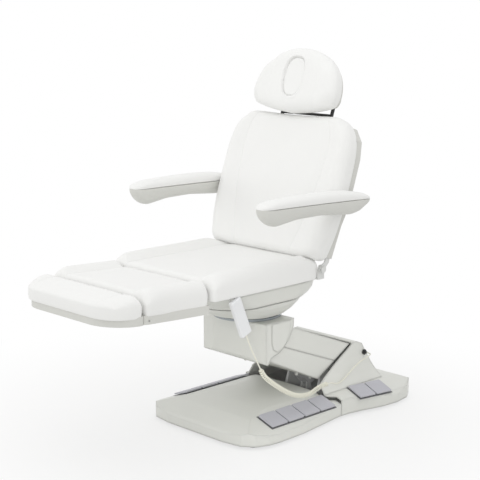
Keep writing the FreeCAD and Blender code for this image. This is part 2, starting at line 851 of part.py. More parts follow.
def row_of_pads(side, rear, count, first):
    """Foot switches of one row, with the tray and the posts that guide them."""
    frame = row_placement(side, rear)
    word = "left" if side > 0 else "right"
    name = f"{word}_{'rear' if rear else 'front'}"
    span = S.pad_pitch * (count - 1) + S.pad_length + S.tray_margin * 2
    tray = [box(f"{name}_tray", -(S.pad_width / 2 + S.tray_margin), S.pad_width / 2
                + S.tray_margin, -(span / 2), span / 2, 0, S.tray_thick)]
    for index in range(count):
        middle = S.pad_pitch * (index - (count - 1) / 2)
        label = f"{word}_pad_{first + index}"
        body = doc.addObject("PartDesign::Body", f"{label}_body")
        sketch = body.newObject("Sketcher::SketchObject", f"{label}_sketch")
        plane = next(f for f in body.Origin.OriginFeatures if f.Role == "XY_Plane")
        sketch.AttachmentSupport = [(plane, "")]
        sketch.MapMode = "FlatFace"
        half_w, half_l = float(S.pad_width) / 2, float(S.pad_length) / 2
        corners = [Vector(-half_w, -half_l, 0), Vector(half_w, -half_l, 0),
                   Vector(half_w, half_l, 0), Vector(-half_w, half_l, 0)]
        for i in range(4):
            sketch.addGeometry(Part.LineSegment(corners[i], corners[(i + 1) % 4]), False)
        for i in range(4):
            sketch.addConstraint(Sketcher.Constraint("Coincident", i, 2, (i + 1) % 4, 1))
        for i, (kind, size) in enumerate((("DistanceX", S.pad_width), ("DistanceY", S.pad_length),
                                          ("DistanceX", S.pad_width), ("DistanceY",
                                                                       S.pad_length))):
            if i < 2:
                number = sketch.addConstraint(Sketcher.Constraint(kind, i, 1, i, 2, float(size)))
                sketch.setExpression(f"Constraints[{number}]", size.text)
            sketch.addConstraint(Sketcher.Constraint(
                "Horizontal" if kind == "DistanceX" else "Vertical", i))
        sketch.addConstraint(Sketcher.Constraint("Symmetric", 0, 1, 1, 2, -1, 1))
        pad = body.newObject("PartDesign::Pad", f"{label}_pad")
        pad.Profile = sketch
        bind(pad, Length=S.pad_thick)
        doc.recompute()
        upright = [f"Edge{i + 1}" for i, edge in enumerate(pad.Shape.Edges)
                   if abs(abs(edge.tangentAt(edge.FirstParameter).z) - 1) < 1e-6]
        rounded = body.newObject("PartDesign::Fillet", f"{label}_corners")
        rounded.Base = (pad, upright)
        bind(rounded, Radius=S.pad_corner)
        bore = post(f"{label}_bore", 0, 0, S.pad_post_radius + S.face_gap, -S.pad_bore_depth,
                    S.pad_bore_depth)
        solid = cut(f"{label}_solid", body, bore)
        solid.Placement = frame.multiply(Placement(
            Vector(0, float(middle), float(S.pad_lift)), Rotation()))
        node(label, solid)
        tray.append(post(f"{label}_post", 0, middle, S.pad_post_radius, 0,
                         S.pad_lift + S.pad_bore_depth - S.pad_travel - S.face_gap))
    solid = fuse(f"{name}_tray_solid", *tray)
    solid.Placement = frame
    return solid


trays = []
for side in (-1, 1):
    trays.append(row_of_pads(side, False, 4, 1))
    trays.append(row_of_pads(side, True, 2, 5))
node("switch_trays", group("switch_tray_group", *trays))


def sind(angle):
    """Sine of an angle of the sheet."""
    return Size(sin(radians(float(angle))), f"sin({as_size(angle).text})")


def cosd(angle):
    """Cosine of an angle of the sheet."""
    return Size(cos(radians(float(angle))), f"cos({as_size(angle).text})")


def framed(label, thing, y, z, angle):
    """Finish a sub-part drawn in a frame that lies at y and z and is turned about X."""
    whole = group(f"{label}_framed", thing)
    whole.Placement = Placement(Vector(0, float(y), float(z)), Rotation(X_AXIS, float(angle)))
    return node(label, place(whole, 0, y, z))


def capsule(name, length, reach, x0, thick):
    """Flat bar along -Y with chamfered ends, beside its two pivots."""
    half = as_size(reach)
    points = [(half, half * BEVEL_SHARE), (half * BEVEL_SHARE, half),
              (-(length + half * BEVEL_SHARE), half),
              (-(length + half), half * BEVEL_SHARE), (-(length + half), -(half * BEVEL_SHARE)),
              (-(length + half * BEVEL_SHARE), -half), (half * BEVEL_SHARE, -half), (half,
                                                                                     -(half * BEVEL_SHARE))]
    return plate_x(name, points, x0, thick)


def both_sides(make, name, x0, thick):
    """The same flat piece at +X and at -X."""
    return [make(f"{name}_left", x0, thick), make(f"{name}_right", -(as_size(x0) + thick), thick)]


# Lifting arm: in its frame -Y runs from the tower's shaft to the head's shaft
arm_turn = -S.arm_angle
head_pivot_y = S.lift_pivot_y - S.arm_length * cosd(S.arm_angle)
head_pivot_z = S.lift_pivot_z + S.arm_length * sind(S.arm_angle)
bars = both_sides(
    lambda name, x0, thick: capsule(name, S.arm_length, S.side_bar_half_height, x0, thick),
    "arm_bar", S.side_bar_inner, S.side_bar_thick)
tube_out = S.pivot_radius + S.pivot_tube_wall
stay_end = S.arm_cover_half_width - S.cover_wall - S.face_gap
bar_out = S.side_bar_inner + S.side_bar_thick
high_stays = [rod_x(f"stay_high_{i}", -along, S.stay_high, S.stay_radius, -stay_end, stay_end)
              for i, along in enumerate((S.stay_first, S.stay_second))]
low_stays = []
for i, along in enumerate((S.stay_first, S.stay_second)):
    low_stays.append(rod_x(f"stay_low_left_{i}", -along, -S.stay_low, S.stay_radius,
                           S.side_bar_inner, stay_end))
    low_stays.append(rod_x(f"stay_low_right_{i}", -along, -S.stay_low, S.stay_radius,
                           -stay_end, -S.side_bar_inner))
stay_blocks = []
for i, along in enumerate((S.stay_first, S.stay_second)):
    for side in (-1, 1):
        inner_face = S.side_bar_inner if side > 0 else -bar_out
        stay_blocks.append(box(
            f"stay_block_{i}_{side + 1}", inner_face, inner_face + S.side_bar_thick,
            -(along + S.stay_radius * SLOPE_SHARE), -(along - S.stay_radius * SLOPE_SHARE), 0,
                               S.stay_high))
arm_solid = fuse(
    "arm_frame_solid", *bars, *high_stays, *low_stays, *stay_blocks,
    rod_x("arm_rear_tube", 0, 0, tube_out, -S.side_bar_inner, S.side_bar_inner),
    rod_x("arm_front_tube", -S.arm_length, 0, tube_out, -S.side_bar_inner, S.side_bar_inner),
    rod_x("arm_grip_pin", -S.lift_grip, 0, S.eye_pin_radius, -S.side_bar_inner,
          S.side_bar_inner))
arm_bores = [rod_x(f"arm_bore_{i}", -along, 0, S.pivot_radius + S.running_gap,
                   -(bar_out + S.overrun), bar_out + S.overrun)
             for i, along in enumerate((as_size(0), S.arm_length))]
framed("arm_frame", cut("arm_frame_cut", arm_solid, *arm_bores),
       S.lift_pivot_y, S.lift_pivot_z, arm_turn)

# Arm cover: a sleeve round the arm, open at both ends and split along its middle
ARM_SLEEVE_SHARES = [(0.048, 1.0), (-0.977, 1.0), (-1.12, 0.66), (-1.205, 0.0)]
ARM_BELLY_SHARES = [(-1.17, -0.77), (-0.309, -1.0)]
sleeve = (shares_to(ARM_SLEEVE_SHARES, S.arm_length, S.arm_cover_top)
          + shares_to(ARM_BELLY_SHARES, S.arm_length, S.arm_cover_depth))
sleeve_solid = cut(
    "arm_sleeve",
    slab_x("arm_sleeve_out", sleeve, S.arm_cover_half_width),
    slab_x("arm_sleeve_in", inset(sleeve, S.cover_wall, [1, 2, 3, 5]),
           S.arm_cover_half_width - S.cover_wall))
sleeve_far = S.arm_length * SPREAD_SHARE
split_high = box("split_high", -S.base_half_width, S.base_half_width, -sleeve_far, sleeve_far,
                 -S.arm_split, S.arm_length)
split_low = box("split_low", -S.base_half_width, S.base_half_width, -sleeve_far, sleeve_far,
                -S.arm_length, -(S.arm_split + S.arm_split_gap))
framed("arm_cover_upper", common("arm_cover_upper_solid", sleeve_solid, split_high),
       S.lift_pivot_y, S.lift_pivot_z, arm_turn)
sleeve_low = slab_x("arm_sleeve_low", sleeve, S.arm_cover_half_width)
sleeve_low_in = slab_x("arm_sleeve_low_in", inset(sleeve, S.cover_wall, [1, 2, 3, 5]),
                       S.arm_cover_half_width - S.cover_wall)
clips = []
for i, along_share in enumerate((0.40, 0.62)):
    for side in (-1, 1):
        edge = S.arm_cover_half_width - S.arm_clip_width * 2
        low = -(S.arm_cover_depth + S.arm_clip_drop * CLIP_SHARE)
        clips.append(box(
            f"clip_{i}_{side + 1}", edge * side - S.arm_clip_width / 2,
            edge * side + S.arm_clip_width / 2, -(S.arm_length * along_share),
            -(S.arm_length * along_share) + S.arm_clip_width * CLIP_SHARE, low,
            -(S.arm_cover_depth - S.arm_clip_drop * (0.55 + i * 0.45))))
lower_half = common("arm_cover_lower_half", cut("arm_sleeve_b", sleeve_low, sleeve_low_in),
                    split_low)
framed("arm_cover_lower", fuse("arm_cover_lower_solid", lower_half, *clips),
       S.lift_pivot_y, S.lift_pivot_z, arm_turn)

# Levelling link: two bars below the arm that keep the head upright, joined by a cross rod
link_inner = lug_inner + S.lug_thick + S.side_gap
link_bars = both_sides(
    lambda name, x0, thick: capsule(name, S.arm_length, S.link_half_height, x0, thick),
    "link_bar", link_inner, S.link_thick)
link_cross = rod_x("link_cross", -(S.arm_length * EYE_SHARE), 0, S.link_half_height / 2,
                   -(link_inner + S.link_thick / 2), link_inner + S.link_thick / 2)
link_bores = [rod_x(f"link_bore_{i}", -along, 0, S.link_pin_radius + S.running_gap,
                    -(link_end + S.overrun), link_end + S.overrun)
              for i, along in enumerate((as_size(0), S.arm_length))]
framed("parallel_link", cut("parallel_link_cut", fuse("parallel_link_solid", *link_bars,
                                                      link_cross), *link_bores),
       link_pivot_y, link_pivot_z, arm_turn)


def actuator(label, rod_label, foot, grip, side, motor_length, least, most, open_gap):
    """Spindle actuator from its foot pin to its grip pin: tube, gear motor and sliding rod.

    foot and grip are (y, z) places; least and most are the changes of its length in use.
    """
    dy, dz = float(grip[0]) - float(foot[0]), float(grip[1]) - float(foot[1])
    length = hypot(dy, dz)
    angle = degrees(atan2(dz, dy))
    least, most = float(least), float(most)
    tube_end = length + least - float(S.eye_radius) - float(S.side_gap)
    inside = most + float(S.tube_start)
    bore_start = tube_end - inside + least - float(S.side_gap)
    eye = rod_x(f"{label}_eye", 0, 0, S.eye_radius * EYE_SHARE, -S.eye_half_width,
                S.eye_half_width)
    neck = rod_y(f"{label}_neck", 0, 0, S.eye_half_width * EYE_SHARE, 0, S.tube_start)
    tube = rod_y(f"{label}_tube", 0, 0, S.tube_radius, S.tube_start, tube_end)
    motor = rod_y(f"{label}_motor", S.motor_side * side, 0, S.motor_radius, S.tube_start,
                  S.tube_start + motor_length)
    bridge_ends = sorted((float(S.tube_radius * BRIDGE_SHARE * side), float(S.motor_side * side)))
    bridge = box(f"{label}_bridge", bridge_ends[0], bridge_ends[1], S.tube_start,
                 S.tube_start * 2, -(S.tube_radius * 0.7), S.tube_radius * 0.7)
    pin_bore = rod_x(f"{label}_pin_bore", 0, 0, S.eye_pin_radius + S.running_gap, -S.overrun,
                     S.overrun)
    rod_bore = rod_y(f"{label}_rod_bore", 0, 0, S.rod_radius + S.running_gap, bore_start,
                     tube_end + float(S.overrun))
    body = cut(f"{label}_cut", fuse(f"{label}_solid", eye, neck, tube, motor, bridge),
               pin_bore, rod_bore)
    rod = rod_y(f"{rod_label}_bar", 0, 0, S.rod_radius, tube_end - inside,
                length - float(open_gap) - float(S.eye_pin_radius))
    ring = rod_x(f"{rod_label}_ring", length, 0, S.eye_radius, -S.eye_half_width,
                 S.eye_half_width)
    hole = rod_x(f"{rod_label}_hole", length, 0, S.eye_pin_radius + open_gap, -S.overrun,
                 S.overrun)
    slider = cut(f"{rod_label}_cut", fuse(f"{rod_label}_solid", rod, ring), hole)
    for name, thing in ((label, body), (rod_label, slider)):
        whole = group(f"{name}_framed", thing)
        whole.Placement = Placement(Vector(0, float(foot[0]), float(foot[1])),
                                    Rotation(X_AXIS, angle))
        node(name, place(whole, 0, foot[0], foot[1]))


lift_grip_y = S.lift_pivot_y - S.lift_grip * cosd(S.arm_angle)
lift_grip_z = S.lift_pivot_z + S.lift_grip * sind(S.arm_angle)
actuator("lift_actuator", "lift_rod", (S.lift_foot_y, S.lift_foot_z),
         (lift_grip_y, lift_grip_z), 1, S.motor_length, -S.lift_shorten, S.lift_lengthen,
         S.open_pivot_gap)

# Lift head: a steel carrier inside a moulded cover
link_head_y = head_pivot_y + S.link_offset_y
link_head_z = head_pivot_z + S.link_offset_z
plate_high = S.head_top - S.cover_wall - S.face_gap
plate_low = plate_high - S.head_plate_thick
lug_reach = S.pivot_radius * 2
head_lug = [
    (S.head_plate_front, plate_low + S.face_gap), (head_pivot_y - S.pivot_radius * NARROW_SHARE,
                                                   plate_low + S.face_gap),
    (head_pivot_y + lug_reach, head_pivot_z + S.pivot_radius),
    (head_pivot_y + lug_reach, head_pivot_z - S.pivot_radius),
    (link_head_y + S.link_half_height, link_head_z - S.link_half_height),
    (link_head_y - S.link_half_height, link_head_z - S.link_half_height),
    (link_head_y - S.link_half_height * 2.2, link_head_z + S.link_half_height * 2),
    (S.head_plate_front, plate_low - S.head_plate_thick * 2)]
head_lugs = both_sides(lambda name, x0, thick: plate_x(name, head_lug, x0, thick),
                       "head_lug", lug_inner, S.lug_thick)
head_plate = box("head_plate", -S.head_plate_half_width, S.head_plate_half_width,
                 S.head_plate_front, S.head_plate_back, plate_low, plate_high)
bearing_top = S.head_top + S.ring_lift
bearing = post("bearing_race", 0, S.swivel_y, S.bearing_radius * RACE_SHARE, plate_high,
               bearing_top)
hub_bore = post("hub_bore", 0, S.swivel_y, S.hub_radius + S.running_gap,
                plate_low - S.overrun, bearing_top + S.overrun)
head_hole = rod_x("head_pivot_hole", head_pivot_y, head_pivot_z, S.pivot_radius,
                  -link_end, link_end)
head_link_hole = rod_x("head_link_hole", link_head_y, link_head_z, S.link_pin_radius,
                       -link_end, link_end)
node("head_frame", cut(
    "head_frame_cut", fuse("head_frame_solid", head_plate, bearing, *head_lugs),
    hub_bore, head_hole, head_link_hole))
node("head_pivot_pins", group(
    "head_pins",
    rod_x("head_shaft", head_pivot_y, head_pivot_z, S.pivot_radius, -shaft_half, shaft_half),
    rod_x("head_link_pin_left", link_head_y, link_head_z, S.link_pin_radius, lug_inner,
          link_end),
    rod_x("head_link_pin_right", link_head_y, link_head_z, S.link_pin_radius, -link_end,
          -lug_inner)))

# Head cover: shares of its depth and height; its rear and underside stay open for the arm
HEAD_SIDE_SHARES = [(0.0, 1.0), (0.0, 0.14), (0.035, 0.07), (0.145, 0.0), (0.28, 0.165),
                    (0.57, 0.25), (0.83, 0.49), (0.995, 0.80), (1.0, 1.0)]
head_side = shares_to(HEAD_SIDE_SHARES, S.head_depth, S.head_height, S.head_front,
                      S.head_top - S.head_height)
head_back = S.head_front + S.head_depth
head_plan = mirrored([
    (S.head_face_half_width, S.head_front),
    (S.head_half_width, S.head_front + S.head_chamfer),
    (S.head_half_width, head_back + S.overrun * 2)])
head_plan_in = mirrored([
    (S.head_face_half_width, S.head_front + S.cover_wall),
    (S.head_half_width - S.cover_wall, S.head_front + S.head_chamfer + S.cover_wall),
    (S.head_half_width - S.cover_wall, head_back + S.overrun * 3)])
head_low = S.head_top - S.head_height
head_outer = common(
    "head_outer", slab_x("head_side_out", head_side, S.head_half_width),
    slab_z("head_plan_out", head_plan, head_low, S.head_height))
head_inner = common(
    "head_inner",
    slab_x("head_side_in", inset(head_side, S.cover_wall, [3, 4, 5, 6, 7]),
           S.head_half_width - S.cover_wall),
    slab_z("head_plan_inner", head_plan_in, head_low - S.overrun, S.head_height + S.overrun))
EAR_PANEL_SHARES = [(0.27, 1.0), (0.27, 0.52), (0.33, 0.36), (0.45, 0.29), (0.60, 0.33),
                    (0.73, 0.46), (0.84, 0.70), (0.88, 1.0)]
ear_panel = shares_to(EAR_PANEL_SHARES, S.head_depth, S.head_height * 0.97, S.head_front,
                      head_low)
ears = both_sides(lambda name, x0, thick: plate_x(name, ear_panel, x0, thick),
                  "ear_panel", S.head_half_width, S.ear_panel_rise)
bearing_hole = post("bearing_hole", 0, S.swivel_y, S.bearing_radius * RACE_SHARE + S.face_gap,
                    plate_high, S.head_top + S.overrun)
node("head_cover", cut("head_cover_cut", fuse("head_cover_solid", head_outer, *ears),
                       head_inner, bearing_hole))


CORNER_SHARE = 0.97


def rounded_outline(half_x, y0, y1, front, rear, z):
    """Level rectangle as a wire, with front and rear corners of the given radii."""
    half_x, y0, y1 = float(half_x), float(y0), float(y1)
    largest = min((y1 - y0) / 2, half_x) * CORNER_SHARE
    front, rear = min(float(front), largest), min(float(rear), largest)
    centres = [(half_x - front, y0 + front, -90, front), (half_x - rear, y1 - rear, 0, rear),
               (rear - half_x, y1 - rear, 90, rear), (front - half_x, y0 + front, 180, front)]
    edges = []
    ends = []
    for cx, cy, start, corner in centres:
        spots = [Vector(cx + corner * cos(radians(start + turned)),
                        cy + corner * sin(radians(start + turned)), z) for turned in (0, 45, 90)]
        ends.append((spots[0], spots[2], Part.Arc(*spots).toShape()))
    for i in range(4):
        edges.append(ends[i][2])
        edges.append(Part.LineSegment(ends[i][1], ends[(i + 1) % 4][0]).toShape())
    return Part.Wire(edges)


def bowl(levels, low, high, shrink):
    """Solid through level outlines.

    A level is shares of height, half width, front and rear, then the front and rear corners
    as shares of the level's own half width.
    """
    wires = []
    for rise, width, front, rear, front_corner, rear_corner in levels:
        half_x = float(S.pan_half_width) * width - shrink
        y0 = -float(S.pan_front) * front + shrink
        y1 = float(S.pan_rear) * rear - shrink
        wires.append(rounded_outline(half_x, y0, y1, half_x * front_corner,
                                     half_x * rear_corner, low + (high - low) * rise))
    return Part.makeLoft(wires, True, True)


# Lower pan: it turns with the swivel and does not tilt
ring_low = bearing_top + S.face_gap
ring_high = ring_low + S.ring_thick
dish_low = float(ring_high)
dish_high = dish_low + float(S.dish_height)
round_share = float(S.pan_bottom_radius) / float(S.pan_half_width)
DISH_LEVEL_SHARES = [
    (0.0, round_share, 0.153, 0.702, 0.97, 0.97), (0.17, 0.62, 0.30, 0.747, 0.9, 0.95),
    (0.45, 0.76, 0.46, 0.782, 0.78, 0.86), (0.75, 0.87, 0.62, 0.802, 0.68, 0.80),
    (1.0, 0.925, 0.745, 0.811, 0.60, 0.74)]
wall = float(S.pan_wall)
dish_out = bowl(DISH_LEVEL_SHARES, dish_low, dish_high, 0)
dish_in = bowl(DISH_LEVEL_SHARES, dish_low + wall, dish_high + 0.01 * wall, wall)
hub_hole = Part.makeCylinder(float(S.hub_radius) * HUB_HOLE_SHARE, float(S.overrun),
                             Vector(0, float(S.swivel_y), dish_low - float(S.overrun) / 2))
node("lower_pan", feature("lower_pan_shell", dish_out.cut(dish_in).cut(hub_hole)))

# Turntable: glossy ring and hub, the plate in the dish and the lugs of the tilt axis
plate_seat = ring_high + S.pan_wall + S.face_gap
turn_plate = post("turn_plate", 0, S.swivel_y, S.dish_plate_radius, plate_seat,
                  plate_seat + S.dish_plate_thick)
ring = post("swivel_ring", 0, S.swivel_y, S.ring_radius, ring_low, ring_high)
hub = post("swivel_hub", 0, S.swivel_y, S.hub_radius, ring_low - S.hub_depth, ring_low)
neck = post("swivel_neck", 0, S.swivel_y, S.hub_radius * HUB_NECK_SHARE, ring_low,
            plate_seat + S.dish_plate_thick)
tilt_lug = [
    (S.swivel_y + S.dish_plate_radius * TILT_LUG_SHARES[0], plate_seat),
    (S.swivel_y + S.dish_plate_radius * TILT_LUG_SHARES[1], plate_seat),
    (S.tilt_axis_y + S.tilt_lug_radius, S.tilt_axis_z - S.tilt_lug_radius),
    (S.tilt_axis_y + S.tilt_lug_radius, S.tilt_axis_z + S.tilt_lug_radius * FLAT_SHARE),
    (S.tilt_axis_y + S.tilt_lug_radius * FLAT_SHARE, S.tilt_axis_z + S.tilt_lug_radius),
    (S.tilt_axis_y - S.tilt_lug_radius * FLAT_SHARE, S.tilt_axis_z + S.tilt_lug_radius),
    (S.tilt_axis_y - S.tilt_lug_radius, S.tilt_axis_z)]
tilt_lugs = both_sides(lambda name, x0, thick: plate_x(name, tilt_lug, x0, thick),
                       "tilt_lug", S.tilt_lug_x, S.tilt_lug_thick)
tilt_foot_reach = S.eye_pin_radius * EYE_LUG_SHARE
tilt_foot_lug = [
    (S.tilt_foot_y - tilt_foot_reach, plate_seat + S.face_gap),
    (S.tilt_foot_y + tilt_foot_reach * 2.5, plate_seat + S.face_gap),
    (S.tilt_foot_y + tilt_foot_reach, S.tilt_foot_z + tilt_foot_reach * FLAT_SHARE),
    (S.tilt_foot_y + tilt_foot_reach * FLAT_SHARE, S.tilt_foot_z + tilt_foot_reach),
    (S.tilt_foot_y - tilt_foot_reach * FLAT_SHARE, S.tilt_foot_z + tilt_foot_reach),
    (S.tilt_foot_y - tilt_foot_reach, S.tilt_foot_z + tilt_foot_reach * FLAT_SHARE)]
tilt_foot_lugs = both_sides(lambda name, x0, thick: plate_x(name, tilt_foot_lug, x0, thick),
                            "tilt_foot_lug", eye_lug_inner, S.eye_lug_thick)
tilt_foot_pin = rod_x("tilt_foot_pin", S.tilt_foot_y, S.tilt_foot_z, S.eye_pin_radius,
                      -eye_lug_inner - S.eye_lug_thick, eye_lug_inner + S.eye_lug_thick)
tilt_pin_half = S.tilt_lug_x + S.tilt_lug_thick * 2 + S.side_gap * 2
tilt_pin = rod_x("tilt_pin", S.tilt_axis_y, S.tilt_axis_z, S.eye_pin_radius, -tilt_pin_half,
                 tilt_pin_half)
node("turntable_frame", fuse("turntable_solid", ring, hub, neck, turn_plate, *tilt_lugs,
                             *tilt_foot_lugs, tilt_foot_pin, tilt_pin))
actuator("tilt_actuator", "tilt_rod", (S.tilt_foot_y, S.tilt_foot_z),
         (S.tilt_grip_y, S.tilt_grip_z), -1, S.tilt_motor_length, as_size(0),
         S.tilt_lengthen, S.tilt_open_gap)

# Upper pan: it tilts with the seat, and is open above and below
pan_low = dish_high + float(S.pan_gap)
pan_high = float(S.board_bottom) - float(S.face_gap)
PAN_LEVEL_SHARES = [
    (0.0, 0.928, 0.752, 0.853, 0.60, 0.735), (0.2, 0.947, 0.81, 0.93, 0.58, 0.735),
    (0.45, 0.966, 0.88, 0.985, 0.56, 0.735), (1.0, 1.0, 1.0, 1.0, 0.52, 0.72)]
pan_out = bowl(PAN_LEVEL_SHARES, pan_low, pan_high, 0)
pan_in = bowl(PAN_LEVEL_SHARES, pan_low, pan_high, wall)
leg_hole = Part.makeCylinder(
    float(S.seat_rod_radius + S.side_gap), float(S.pan_front),
    Vector(-float(S.seat_actuator_x), -float(S.pan_front) - float(S.overrun),
           float(S.leg_rod_z)), Y_AXIS)
node("seat_pan", feature("seat_pan_shell", pan_out.cut(pan_in).cut(leg_hole)))


def rounded(points, plane, low, high):
    """Prism of an outline with arcs: a point marked True lies midway on an arc.

    plane gives the two axes of the outline; low and high lie on the third axis.
    """
    axis = ({"x", "y", "z"} - set(plane)).pop()
    flat = []
    for point in points:
        spot = {plane[0]: float(point[0]), plane[1]: float(point[1]), axis: float(low)}
        flat.append((Vector(spot["x"], spot["y"], spot["z"]), len(point) > 2))
    edges = []
    count = len(flat)
    for i, (spot, midway) in enumerate(flat):
        ahead, ahead_midway = flat[(i + 1) % count]
        if ahead_midway:
            edges.append(Part.Arc(spot, ahead, flat[(i + 2) % count][0]).toShape())
        elif not midway:
            edges.append(Part.LineSegment(spot, ahead).toShape())
    way = {"x": X_AXIS, "y": Y_AXIS, "z": Z_AXIS}[axis]
    face = Part.Face(Part.Wire(Part.__sortEdges__(edges)))
    return face.extrude(way * (float(high) - float(low)))


def both(points):
    """Half an outline at +X, with marks for arcs, completed at -X."""
    other = [(-as_size(p[0]),) + tuple(p[1:]) for p in reversed(points) if float(p[0]) > 0]
    return list(points) + other


def spread(shares, width, height, left=0, low=0):
    """Marked outline of shares, scaled to a width and a height."""
    return [(as_size(left) + as_size(width) * p[0], as_size(low) + as_size(height) * p[1])
            + tuple(p[2:]) for p in shares]


def shared(*shapes):
    """What several shapes share."""
    rest = shapes[0]
    for shape in shapes[1:]:
        rest = rest.common(shape)
    return rest


def at_joint(label, shape, y, z, angle):
    """Finish a shape drawn in a frame that lies at y and z and is turned about X."""
    item = feature(f"{label}_form", shape)
    item.Placement = Placement(Vector(0, float(y), float(z)), Rotation(X_AXIS, float(angle)))
    return node(label, item)


# Seat frame: a board on two rails, with the lugs of the tilt, knee and back hinges
board_top = S.board_bottom + S.board_thick
SEAT_BOARD_SHARES = [(0.72, 0.97), (0.91, 0.91), (0.985, 0.80), (1.0, 0.66), (1.0, 0.0)]
board_half = shares_to(SEAT_BOARD_SHARES, S.bracket_x, -S.seat_front)
hinge_out = S.bracket_x + S.bracket_thick
board_plan = mirrored(board_half + [
    (S.bracket_x - S.bracket_thick, S.back_y - S.bracket_radius),
    (hinge_out, S.back_y - S.bracket_radius), (hinge_out, S.back_y + S.bracket_radius),
    (S.bracket_x - S.bracket_radius, S.back_y + S.bracket_radius),
    (S.bracket_x * BOARD_REAR_SHARES[0], S.pan_rear * BOARD_REAR_SHARES[1]),
                                    (S.bracket_x * BOARD_REAR_SHARES[2], S.board_back)])
board = slab_z("seat_board", board_plan, S.board_bottom, S.board_thick)
rails = [box(f"seat_rail_{side + 1}", S.rail_x * side - S.rail_width / 2,
             S.rail_x * side + S.rail_width / 2, -S.rail_front, S.rail_back,
             S.board_bottom - S.rail_height, S.board_bottom) for side in (-1, 1)]
hinge_plate = [
    (S.back_y - S.bracket_radius, S.board_bottom), (S.back_y + S.bracket_radius, S.board_bottom),
    (S.back_y + S.bracket_radius, S.back_z),
    (S.back_y + S.bracket_radius * SHOULDER_SHARES[0],
     S.back_z + S.bracket_radius * SHOULDER_SHARES[1]),
    (S.back_y, S.back_z + S.bracket_radius),
    (S.back_y - S.bracket_radius * SHOULDER_SHARES[0],
     S.back_z + S.bracket_radius * SHOULDER_SHARES[1]),
    (S.back_y - S.bracket_radius, S.back_z)]
hinge_plates = both_sides(lambda name, x0, thick: plate_x(name, hinge_plate, x0, thick),
                          "hinge_plate", S.bracket_x, S.bracket_thick)
back_arm_inner = hinge_out + S.hinge_gap
back_arm_outer = back_arm_inner + S.back_arm_thick
hinge_pins = [
    rod_x("hinge_pin_left", S.back_y, S.back_z, S.hinge_pin_radius, S.bracket_x,
          back_arm_outer + S.hinge_gap),
    rod_x("hinge_pin_right", S.back_y, S.back_z, S.hinge_pin_radius,
          -(back_arm_outer + S.hinge_gap), -S.bracket_x),
    rod_x("hinge_head_left", S.back_y, S.back_z, S.hinge_head_radius,
          back_arm_outer + S.hinge_gap, back_arm_outer + S.hinge_gap * 3),
    rod_x("hinge_head_right", S.back_y, S.back_z, S.hinge_head_radius,
          -(back_arm_outer + S.hinge_gap * 3), -(back_arm_outer + S.hinge_gap))]
seat_tilt_lug = [
    (S.tilt_axis_y - S.tilt_lug_radius, S.board_bottom),
    (S.tilt_axis_y - S.tilt_lug_radius, S.tilt_axis_z - S.tilt_lug_radius * FLAT_SHARE),
    (S.tilt_axis_y - S.tilt_lug_radius * FLAT_SHARE, S.tilt_axis_z - S.tilt_lug_radius),
    (S.tilt_axis_y + S.tilt_lug_radius * FLAT_SHARE, S.tilt_axis_z - S.tilt_lug_radius),
    (S.tilt_axis_y + S.tilt_lug_radius, S.tilt_axis_z - S.tilt_lug_radius * FLAT_SHARE),
    (S.tilt_axis_y + S.tilt_lug_radius, S.board_bottom)]
seat_lug_x = S.tilt_lug_x + S.tilt_lug_thick + S.side_gap
seat_tilt_lugs = both_sides(lambda name, x0, thick: plate_x(name, seat_tilt_lug, x0, thick),
                            "seat_tilt_lug", seat_lug_x, S.tilt_lug_thick)
grip_reach = S.eye_pin_radius * EYE_LUG_SHARE
grip_lug = [
    (S.tilt_grip_y - grip_reach, S.board_bottom),
    (S.tilt_grip_y - grip_reach, S.tilt_grip_z - grip_reach * FLAT_SHARE),
    (S.tilt_grip_y - grip_reach * FLAT_SHARE, S.tilt_grip_z - grip_reach),
    (S.tilt_grip_y + grip_reach * FLAT_SHARE, S.tilt_grip_z - grip_reach),
    (S.tilt_grip_y + grip_reach, S.tilt_grip_z - grip_reach * FLAT_SHARE),
    (S.tilt_grip_y + grip_reach, S.board_bottom)]
grip_lugs = both_sides(lambda name, x0, thick: plate_x(name, grip_lug, x0, thick),
                       "grip_lug", eye_lug_inner, S.eye_lug_thick)
grip_pin = rod_x("grip_pin", S.tilt_grip_y, S.tilt_grip_z, S.eye_pin_radius,
                 -(eye_lug_inner + S.eye_lug_thick), eye_lug_inner + S.eye_lug_thick)
knee_lug = [
    (S.knee_y - S.knee_lug_radius, S.knee_z + S.knee_lug_radius * FLAT_SHARE),
    (S.knee_y - S.knee_lug_radius, S.knee_z - S.knee_lug_radius * FLAT_SHARE),
    (S.knee_y - S.knee_lug_radius * FLAT_SHARE, S.knee_z - S.knee_lug_radius),
    (S.knee_y + S.knee_lug_radius * FLAT_SHARE, S.knee_z - S.knee_lug_radius),
    (S.knee_y + S.knee_lug_radius * SPREAD_SHARE, S.knee_z + S.knee_lug_radius * NARROW_SHARE),
    (S.knee_y + S.knee_lug_radius * EYE_LUG_SHARE, board_top), (S.knee_y + S.knee_lug_radius,
                                                                board_top)]
knee_lugs = both_sides(lambda name, x0, thick: plate_x(name, knee_lug, x0, thick),
                       "knee_lug", S.knee_lug_x, S.knee_lug_thick)
knee_pin = rod_x("knee_pin", S.knee_y, S.knee_z, S.leg_pin_radius,
                 -(S.knee_lug_x + S.knee_lug_thick), S.knee_lug_x + S.knee_lug_thick)
back_tube_high = S.back_rod_z + S.seat_tube_radius + S.face_gap
leg_tube_high = S.leg_rod_z + S.seat_tube_radius + S.face_gap
